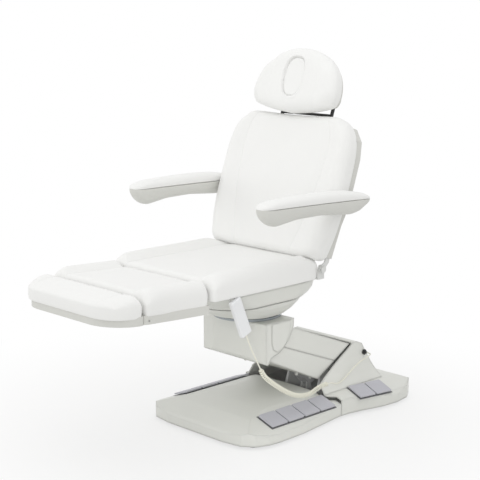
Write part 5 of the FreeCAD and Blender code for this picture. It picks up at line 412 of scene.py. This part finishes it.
def cushion(corners, low, high, height, cross, profile, seam=seam_share, split=None, columns=64,
            rows=130, side_roll=0.045, end_roll=0.026, tip_roll=None, groove=0.0016, dent=None):
    """A sewn foam cushion: the points and faces of one closed skin, and its seam's line.

    The plan is a Coons patch between the bent outline's borders: near up to corner low, side up
    to corner high, and far. Its columns are drawn together so that the seam's column lies at
    the share split(v). The upper skin stands at mid + (top - mid) times roll(d / reach) of the
    side and of both ends, where d is the distance to that border and top the lower of
    height x cross(u) and height x profile(v); the under skin is mid (1 - roll). The near end's
    reach grows to tip_roll at the side rolls, and dent(x, y) is taken off the top."""
    line, middles = bent_line(corners)
    near, far = middles[low], middles[high]
    near_line, side_line, far_line = line[:near + 1], line[near:far + 1], line[far:][::-1]
    u = np.unique(np.r_[np.sin(np.linspace(0, np.pi / 2, columns)), seam + seam_columns])
    v = 0.5 - 0.5 * np.cos(np.linspace(0, np.pi, rows))
    at_seam = blurred(split or [(0, seam), (1, seam)], v, split_blur)[:, None]
    place_u = np.where(u <= seam, u * at_seam / seam,
                       at_seam + (u - seam) * (1 - at_seam) / (1 - seam))
    plan = coons(near_line, side_line, far_line, place_u, v)
    to_near, to_far = distance(near_line, plan), distance(far_line, plan)
    to_side = distance(side_line, plan)
    to_near[0], to_far[-1], to_side[:, -1] = 0, 0, 0
    top = height * lowest_of(blurred(cross, u, cross_blur)[None],
                             blurred(profile, v, profile_blur)[:, None], crown_blend)
    from_seam = np.abs(place_u - at_seam) * plan[..., 0].max()
    pucker = np.sin(2 * np.pi * plan[..., 1] / pucker_pitch) * np.exp(-from_seam / pucker_reach)
    top = (top - groove * np.exp(-(from_seam / groove_half) ** 2) + pucker_height * pucker
           + swell_height * swell(plan[..., 0], plan[..., 1]))
    mid = widest_share * height
    outer = smooth_step((place_u - at_seam) / (1 - at_seam))
    near_roll = end_roll + ((tip_roll or end_roll) - end_roll) * outer
    lift = (roll(to_side / side_roll, roll_fullness) * roll(to_near / near_roll, roll_fullness)
            * roll(to_far / end_roll, roll_fullness))
    upper = mid + (top - mid) * lift
    if dent is not None:
        upper = upper - dent(plan[..., 0], plan[..., 1])
    gap = np.minimum(np.minimum(to_near, to_far), to_side)
    lower = mid * (1 - roll(gap / under_roll, under_fullness))
    column = int(np.argmin(np.abs(u - seam)))
    held = lift[:, column] > thread_from
    thread = np.c_[plan[held, column], upper[held, column]]
    return *closed_skin(plan, upper, lower), thread


def place(points, slope, hinge):
    """Turns points by a slope in degrees about X and moves them to the hinge's y and z."""
    c, s = np.cos(np.radians(slope)), np.sin(np.radians(slope))
    return np.c_[points[:, 0], hinge[1] + points[:, 1] * c - points[:, 2] * s,
                 hinge[2] + points[:, 1] * s + points[:, 2] * c]


def joined(parts):
    """Several shapes' points in one array, and their faces with the numbers moved on to match."""
    starts = np.cumsum([0] + [len(points) for points, _ in parts])
    return (np.concatenate([points for points, _ in parts]),
            [block + start for (_, faces), start in zip(parts, starts) for block in faces])


def upholster(name, body, node, points, faces, fill):
    """A leather-covered pad made from those points and faces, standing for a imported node."""
    pad = new_mesh(name, points, faces)
    pad.data.materials.append(white_leather)
    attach(pad, body)
    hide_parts(node)


def dress(name, body, node, made, hinge, slope, raised, fill):
    """A cushion and its two seam threads, raised over its board and turned about the hinge."""
    points, faces, thread = made
    lift = (0, 0, raised)
    upholster(name, body, node, place(points + lift, slope, hinge), faces, fill)
    parts = []
    for side in (-1, 1):
        line = place((thread + lift) * (side, 1, 1) - (0, 0, thread_sink), slope, hinge)
        across = np.tile((1.0, 0.0, 0.0), (len(line), 1))
        parts.append(tube(line, across, thread_radius, thread_sides))
    seams = new_mesh(name + "_seams", *joined(parts))
    seams.data.materials.append(seam_thread)
    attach(seams, body)


seat_shape = cushion(seat_outline, 1, 2, seat_height, seat_cross, seat_profile, tip_roll=0.10)
dress("seat_upholstery", "seat", "seat_cushion", seat_shape, seat_board, 0, 0, 0.9)

# Calf and foot cushions
# Two shorter cushions of the same make as the seat's, in line with its side rolls; the foot's
# outer corners are round in plan. Each is screwed from below to its own moulded tray.
leg_slope = -2.5
leg_height = 0.088
calf_raised, foot_raised = 0.0134, 0.0104
leg_cross = [(0, 0.86), (0.50, 0.855), (0.64, 0.84), (0.70, 0.795), (0.745, 0.88), (0.80, 0.98),
             (0.86, 1.03), (1.0, 1.03)]
level_profile = [(0, 1.15), (1, 1.15)]
foot_profile = [(0, 0.66), (0.2, 0.70), (0.5, 0.80), (0.8, 0.87), (1, 0.89)]
calf_outline = [(0, -0.289, 0), (0.267, -0.289, 0.02), (0.267, -0.008, 0.02), (0, -0.008, 0)]
foot_outline = [(0, -0.435, 0), (0.265, -0.435, 0.125), (0.265, -0.303, 0.012), (0, -0.303, 0)]
calf_shape = cushion(calf_outline, 1, 2, leg_height, leg_cross, level_profile, tip_roll=0.085,
                     end_roll=0.022)
dress("calf_upholstery", "leg", "calf_cushion", calf_shape, hinges["leg_rest"], leg_slope,
      calf_raised, 0.9)
foot_shape = cushion(foot_outline, 1, 2, leg_height, leg_cross, foot_profile, end_roll=0.040)
dress("foot_upholstery", "foot", "foot_cushion", foot_shape, hinges["leg_rest"], leg_slope,
      foot_raised, 0.9)

# Back cushion
# The tallest cushion, screwed to its tray: side rolls that hold the patient follow its waisted
# outline, and its top edge dips between two round shoulders under the headrest.
back_slope = 70.7
back_height, back_raised = 0.072, 0.004
back_cross = [(0, 0.90), (0.45, 0.895), (0.60, 0.885), (0.70, 0.85), (0.76, 0.90), (0.84, 0.99),
              (0.90, 1.03), (1.0, 1.03)]
back_outline = [(0, 0.026, 0), (0.286, 0.026, 0.030), (0.309, 0.126, 0.05), (0.318, 0.217, 0.05),
                (0.319, 0.355, 0.07), (0.316, 0.435, 0.04), (0.301, 0.507, 0.04),
                (0.262, 0.553, 0.03), (0.2226, 0.571, 0.03), (0.178, 0.5715, 0.03),
                (0.089, 0.568, 0.05), (0, 0.566, 0)]
back_split = [(0, 0.49), (0.35, 0.62), (0.75, 0.70), (1, 0.68)]
back_shape = cushion(back_outline, 1, 7, back_height, back_cross, level_profile, split=back_split,
                     side_roll=0.060, end_roll=0.034, groove=0.0012)
dress("back_upholstery", "back", "back_cushion", back_shape, hinges["backrest"], back_slope,
      back_raised, 0.9)

# Headrest cushion
# A domed foam cushion on its own tray, with an oval hole for the face, closed here by its own
# stuffed plug, which sits a little lower than the leather round it.
head_height, head_raised = 0.064, 0.050
head_outline = [(0, 0.566, 0), (0.130, 0.580, 0.05), (0.203, 0.600, 0.030), (0.216, 0.640, 0.03),
                (0.209, 0.692, 0.04), (0.188, 0.739, 0.04), (0.149, 0.780, 0.04),
                (0.0925, 0.808, 0.03), (0.047, 0.820, 0.03), (0, 0.822, 0)]
head_cross = [(0, 0.98), (0.40, 0.98), (0.50, 0.96), (0.60, 0.915), (0.70, 0.97), (0.80, 1.0),
              (1.0, 0.98)]
plug_half, plug_tall, plug_up = 0.052, 0.079, 0.703
plug_fullness = 2.6
plug_drop, groove_drop, lip_rise = 0.007, 0.006, 0.0015
# Where the plug's edge, its groove and the lip lie, and how wide, in shares of the plug's size.
edge_at, groove_at, lip_at = 1.03, 0.965, 1.10
edge_wide, groove_wide, lip_wide = 0.06, 0.030, 0.06


def face_dent(x, y):
    """The hole: plug_drop deep where out < 1, groove_drop more at its border, and a lip outside.

    out is (|x/a|^n + |y/b|^n)^(1/n) with n the plug's fullness."""
    out = (np.abs(x / plug_half) ** plug_fullness
           + np.abs((y - plug_up) / plug_tall) ** plug_fullness) ** (1 / plug_fullness)
    return (plug_drop * smooth_step((edge_at - out) / edge_wide)
            + groove_drop * np.exp(-((out - groove_at) / groove_wide) ** 2)
            - lip_rise * np.exp(-((out - lip_at) / lip_wide) ** 2))


head_points, head_faces, _ = cushion(
    head_outline, 2, 6, head_height, head_cross, level_profile, seam=0.90, columns=120, rows=190,
    side_roll=0.075, end_roll=0.060, groove=0.0, dent=face_dent)
head_points = place(head_points + (0, 0, head_raised), back_slope, hinges["backrest"])
upholster("headrest_upholstery", "headrest", "headrest_cushion", head_points, head_faces, 0.85)

# Armrest pads and shells
# Long foam pads with a round front end, thinner toward the pivot, glued in smooth moulded ABS
# shells with a bulge under the hand and another round the pivot pin that holds them.
rest_abs = coloured("rest_abs", (0.66, 0.66, 0.625), moulded_grain,
                    {"Scale": 1100.0, "Depth": 0.00006, "Drift": 0.02},
                    Roughness=0.50, Specular_IOR_Level=0.4)
arm_pivot = (0.323, 0.285, 0.85885)
arm_fore, arm_rise, arm_half = 0.517, 0.07115, 0.036
arm_front, arm_rear = -0.950, 0.116
arm_toe = 2.105
arm_rows, arm_sides = 150, 64
arm_tail, arm_blur = 5, 2.5
plan_fullness, top_fullness, low_fullness = 2.0, 2.2, 2.0
low_nose_share = 0.3
pad_inset = 0.0005
# Rows of (share of arm_fore from the pivot, share of arm_rise over it), from the front back.
pad_top = [(-0.950, 0.62), (-0.940, 0.72), (-0.910, 0.82), (-0.82, 0.945), (-0.58, 1.0),
           (-0.29, 0.985), (-0.115, 0.90), (0.04, 0.70), (0.112, 0.46), (0.116, 0.35)]
pad_low = [(-0.950, 0.53), (-0.87, 0.51), (-0.38, 0.44), (0, 0.37), (0.116, 0.345)]
shell_top = [(-0.950, 0.56), (-0.87, 0.53), (-0.38, 0.46), (0, 0.39), (0.118, 0.35)]
shell_low = [(-0.950, 0.50), (-0.940, 0.26), (-0.915, 0.0), (-0.885, -0.20), (-0.85, -0.33),
             (-0.81, -0.38), (-0.76, -0.33), (-0.62, -0.19), (-0.38, -0.17), (-0.18, -0.30),
             (-0.075, -0.37), (0.0, -0.27), (0.06, 0.02), (0.115, 0.29), (0.118, 0.33)]


def arm_loft(side, top_rows, low_rows, half_width, seam, wide, above, below, nose):
    """Rings along the armrest and their faces, between the lines of its top and low rows.

    With the angle a, x = half |cos a|^(2/wide) and z = mid + rise |sin a|^(2/above), or with
    the power 2/below under mid; mid lies the share seam up from the lower line. Width and
    height are drawn in at both ends by roll, the height within nose of them."""
    turn = np.linspace(0, np.pi, arm_rows)
    y = arm_fore * (arm_front + (arm_rear - arm_front) * (0.5 - 0.5 * np.cos(turn)))
    bell = np.exp(-(np.arange(-arm_tail, arm_tail + 1) / arm_blur) ** 2)

    def heights(rows):
        """The rows' line at each y, blurred over arm_tail rings to either side."""
        line = np.interp(y / arm_fore, *np.array(rows).T) * arm_rise
        return np.convolve(np.pad(line, arm_tail, "edge"), bell / bell.sum(), "valid")

    top, low = heights(top_rows), heights(low_rows)
    end = np.minimum(y - y[0], y[-1] - y)
    half = half_width * roll(end / half_width, plan_fullness)
    mid = low + seam * (top - low)
    top = mid + (top - mid) * roll(end / nose, top_fullness)
    low = mid + (low - mid) * roll(end / (nose * low_nose_share), low_fullness)
    angle = np.linspace(0, 2 * np.pi, arm_sides, endpoint=False)
    c, s = np.cos(angle), np.sin(angle)
    x = half[1:-1, None] * np.sign(c) * np.abs(c) ** (2 / wide)
    rise = np.where(s > 0, (top - mid)[1:-1, None] * np.abs(s) ** (2 / above),
                    (low - mid)[1:-1, None] * np.abs(s) ** (2 / below))
    rings = np.dstack([x, np.broadcast_to(y[1:-1, None], x.shape), mid[1:-1, None] + rise])
    points = np.r_[rings.reshape(-1, 3), [(0, y[0], mid[0]), (0, y[-1], mid[-1])]]
    toe = np.radians(-arm_toe * side)
    c, s = np.cos(toe), np.sin(toe)
    points[:, 0] += arm_half * side
    turned = np.c_[points[:, 0] * c - points[:, 1] * s, points[:, 0] * s + points[:, 1] * c,
                   points[:, 2]]
    return turned + np.array(arm_pivot) * (side, 1, 1), ring_faces(*x.shape, clockwise=True)


for word, side in (("left", 1), ("right", -1)):
    pad_shape = arm_loft(side, pad_top, pad_low, arm_half - pad_inset, seam=0.35, wide=2.6,
                         above=2.3, below=7.0, nose=0.020)
    pod_shape = arm_loft(side, shell_top, shell_low, arm_half, seam=0.93, wide=2.6, above=6.0,
                         below=2.2, nose=0.030)
    upholster(word + "_armrest_upholstery", word + "_armrest", word + "_armrest_pad", *pad_shape,
              0.9)
    pod = new_mesh(word + "_armrest_pod", *pod_shape)
    pod.data.materials.append(rest_abs)
    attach(pod, word + "_armrest")
    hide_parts(word + "_armrest_shell")

# Base and column covers
# Glass-fibre and moulded ABS covers over the base, the lifting arm and its head, and the two
# pans under the seat, all painted one warm grey and screwed to the steel frame.
cover_paint = coloured("cover_paint", (0.715, 0.72, 0.68), moulded_grain,
                       {"Scale": 800.0, "Depth": 0.00004, "Drift": 0.02, "Round": 0.012},
                       Roughness=0.40, Specular_IOR_Level=0.45)


def finish_nodes(names, material):
    """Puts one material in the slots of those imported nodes' own meshes."""
    for name in names:
        slots = nodes[name].data.materials
        slots.clear()
        slots.append(material)


finish_nodes(["front_base_cover", "rear_base_cover", "arm_cover_upper", "arm_cover_lower",
              "head_cover", "lower_pan", "seat_pan"], cover_paint)

# Rest shells
# Vacuum-formed ABS trays screwed to the frames under the calf, foot, back and headrest cushions,
# of the same sheet as the armrest shells and with its own fine grain on the outer face.
finish_nodes(["calf_shell", "foot_shell", "back_shell", "headrest_shell"], rest_abs)

# Tray screws
# Four steel screws with low round heads, two in each side wall of the calf tray, which hold it
# to the leg frame. Each is a turned profile: half width against the distance along the screw.
screw_paint = coloured("screw_paint", (0.30, 0.30, 0.29), moulded_grain,
                       {"Scale": 2000.0, "Depth": 0.00002, "Drift": 0.05}, Roughness=0.35)
screw_spots = np.array([(x, y, z) for x in (-0.2632, 0.2632)
                        for y, z in ((-0.636, 0.5706), (-0.423, 0.5640))])
screw_along = np.array([-0.004, 0.0, 0.0012, 0.0020])[:, None]
screw_half = np.array([0.0032, 0.0032, 0.0026, 0.0012])[:, None]
screw_sides = 16
screws = []
for spot in screw_spots:
    outward = np.sign(spot[0])
    turn = np.linspace(0, 2 * np.pi, screw_sides, endpoint=False) * -outward
    rings = np.stack([outward * screw_along + 0 * turn, screw_half * np.cos(turn),
                      screw_half * np.sin(turn)], -1) + spot
    ends = spot + outward * screw_along[[0, -1]] * (1, 0, 0)
    screws.append((np.r_[rings.reshape(-1, 3), ends],
                   ring_faces(len(screw_along), screw_sides, clockwise=True)))
tray_screws = new_mesh("tray_screws", *joined(screws))
tray_screws.data.materials.append(screw_paint)
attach(tray_screws, "leg")

# Foot switches
# Twelve pads of grey-violet rubber, six on a side, each moulded over its own micro-switch and
# set with its neighbours in a shallow tray of dark plastic.
pad_rubber = coloured("pad_rubber", (0.50, 0.50, 0.54), moulded_grain,
                      {"Scale": 1500.0, "Depth": 0.00009, "Drift": 0.03},
                      Roughness=0.55, Specular_IOR_Level=0.4)
finish_nodes([f"{word}_pad_{n}" for word in ("left", "right") for n in range(1, 7)], pad_rubber)
tray_plastic = coloured("tray_plastic", (0.16, 0.16, 0.165), moulded_grain,
                        {"Scale": 1200.0, "Depth": 0.00005, "Drift": 0.03}, Roughness=0.6)
finish_nodes(["switch_trays"], tray_plastic)

# Steel frame
# Welded tube and plate, powder-coated light grey, with pins, rods and hook of bright steel. The
# headrest's bars are coated black, and the turntable under the pan is enamelled blue-grey.
frame_coat = coloured("frame_coat", (0.72, 0.725, 0.71), moulded_grain,
                      {"Scale": 1600.0, "Depth": 0.00012, "Drift": 0.04}, Roughness=0.45)
finish_nodes(["base_frame", "arm_frame", "parallel_link", "head_frame", "seat_frame", "leg_frame",
              "back_frame"], frame_coat)
black_coat = coloured("black_coat", (0.02, 0.02, 0.021), moulded_grain,
                      {"Scale": 1600.0, "Depth": 0.0001, "Drift": 0.1}, Roughness=0.38)
finish_nodes(["headrest_bracket"], black_coat)
bright_steel = coloured("bright_steel", (0.60, 0.60, 0.59), moulded_grain,
                        {"Scale": 2200.0, "Depth": 0.00002, "Drift": 0.06},
                        Roughness=0.22, Metallic=1.0)
finish_nodes(["base_pivot_pins", "head_pivot_pins", "lift_rod", "tilt_rod", "back_rod", "leg_rod",
              "handset_hook"], bright_steel)
ring_enamel = coloured("ring_enamel", (0.33, 0.36, 0.385), moulded_grain,
                       {"Scale": 500.0, "Depth": 0.00002, "Drift": 0.03},
                       Roughness=0.14, Specular_IOR_Level=0.6)
finish_nodes(["turntable_frame"], ring_enamel)

# Drives, feet and inlet
# Actuator housings and a control box of grey glass-filled nylon, rubber feet screwed under the
# base, and a mains inlet and a cord gland moulded in black and set in the rear cover.
drive_nylon = coloured("drive_nylon", (0.50, 0.502, 0.50), moulded_grain,
                       {"Scale": 1300.0, "Depth": 0.00012, "Drift": 0.08}, Roughness=0.48)
finish_nodes(["lift_actuator", "tilt_actuator", "back_actuator", "leg_actuator", "control_box"],
             drive_nylon)
foot_rubber = coloured("foot_rubber", (0.05, 0.05, 0.05), moulded_grain,
                       {"Scale": 900.0, "Depth": 0.0001, "Drift": 0.1}, Roughness=0.7)
finish_nodes(["levelling_feet"], foot_rubber)
inlet_plastic = coloured("inlet_plastic", (0.025, 0.025, 0.026), moulded_grain,
                         {"Scale": 1500.0, "Depth": 0.00006, "Drift": 0.05}, Roughness=0.4)
finish_nodes(["mains_inlet", "cord_gland"], inlet_plastic)

# Handset
# A flat hand control of white ABS, its two half shells screwed together round the cord's end,
# with a raised key field. It hangs beside the pan on the wire hook.
handset_abs = coloured("handset_abs", (0.80, 0.81, 0.82), moulded_grain,
                       {"Scale": 1200.0, "Depth": 0.00005, "Drift": 0.02},
                       Roughness=0.36, Specular_IOR_Level=0.5)
finish_nodes(["handset"], handset_abs)

# Studio
# A pale sweep lit by an even sky and three soft boxes, with a narrow spot that reaches into the
# column's opening. The sweep and sky are white to the camera and to gloss.
ground, reach = 0.0, 14.0
sky_level, white_level = 0.88, 1.0
# The sweep's white share rises from shadow_white to white_level between these distances.
shadow_from, shadow_to, shadow_white = 0.5, 1.6, 0.68
floor = new_mesh("floor", np.array([(-reach, -reach, ground), (reach, -reach, ground),
                                    (reach, reach, ground), (-reach, reach, ground)]),
                 [np.array([(0, 1, 2, 3)])])


def background_rays(tree):
    """1 on camera, glossy and transmission rays, which see the background white, and else 0."""
    ray = add_node(tree, "ShaderNodeLightPath")
    seen = add_node(tree, "ShaderNodeMath", {0: ray.outputs["Is Camera Ray"],
                                             1: ray.outputs["Is Glossy Ray"]}, operation="MAXIMUM")
    seen = add_node(tree, "ShaderNodeMath", {0: seen.outputs[0],
                                             1: ray.outputs["Is Transmission Ray"]},
                    operation="MAXIMUM")
    return seen.outputs[0]


def ranged(tree, value, start, end, low, high, **settings):
    """A value that goes from start to end, taken to one that goes from low to high."""
    made = add_node(tree, "ShaderNodeMapRange", {"Value": value}, **settings)
    for socket, limit in (("From Min", start), ("From Max", end), ("To Min", low), ("To Max", high)):
        made.inputs[socket].default_value = limit
    return made.outputs["Result"]


sweep = bpy.data.materials.new("sweep")
sweep.use_nodes = True
tree = sweep.node_tree
tree.nodes.clear()
seen = background_rays(tree)
paper = add_node(tree, "ShaderNodeBsdfDiffuse", Color=(0.82, 0.82, 0.81, 1))
glow = add_node(tree, "ShaderNodeEmission", {"Strength": seen}, Color=(1, 1, 1, 1))
place_on = add_node(tree, "ShaderNodeTexCoord")
out_from = add_node(tree, "ShaderNodeVectorMath", {0: place_on.outputs["Object"]},
                    operation="LENGTH")
far_off = ranged(tree, out_from.outputs["Value"], shadow_from, shadow_to, shadow_white,
                 white_level, interpolation_type="SMOOTHSTEP")
white_share = add_node(tree, "ShaderNodeMath", {0: far_off, 1: seen}, operation="MULTIPLY")
mixed = add_node(tree, "ShaderNodeMixShader", {0: white_share.outputs[0],
                                               1: paper.outputs[0], 2: glow.outputs[0]})
add_node(tree, "ShaderNodeOutputMaterial", {"Surface": mixed.outputs[0]})
floor.data.materials.append(sweep)

world = bpy.data.worlds.new("studio")
bpy.context.scene.world = world
world.use_nodes = True
tree = world.node_tree
sky = tree.nodes["Background"]
sky.inputs["Color"].default_value = (1, 1, 1, 1)
sky_strength = ranged(tree, background_rays(tree), 0, 1, sky_level, white_level)
tree.links.new(sky_strength, sky.inputs["Strength"])


def soft_box(name, spot, size, watts):
    """A square area lamp at that spot, turned to the chair's middle."""
    lamp = bpy.data.objects.new(name, bpy.data.lights.new(name, "AREA"))
    lamp.data.size = size
    lamp.data.energy = watts
    lamp.location = spot
    aim(lamp, (0, 0, 0.6))
    bpy.context.scene.collection.objects.link(lamp)


soft_box("overhead_box", (0.6, -0.8, 3.6), 2.6, 15)
soft_box("front_box", (2.5, -3.5, 1.8), 2.5, 9)
soft_box("left_box", (-3.0, -2.2, 1.5), 2.0, 13)
column_spot = bpy.data.objects.new("column_spot", bpy.data.lights.new("column_spot", "SPOT"))
column_spot.data.energy = 120
column_spot.data.spot_size = 0.20
column_spot.data.spot_blend = 1.0
column_spot.data.shadow_soft_size = 0.15
column_spot.location = (3.1, -3.3, 1.45)
aim(column_spot, (-0.03, 0.33, 0.10))
bpy.context.scene.collection.objects.link(column_spot)

bpy.context.scene.view_settings.view_transform = "Standard"
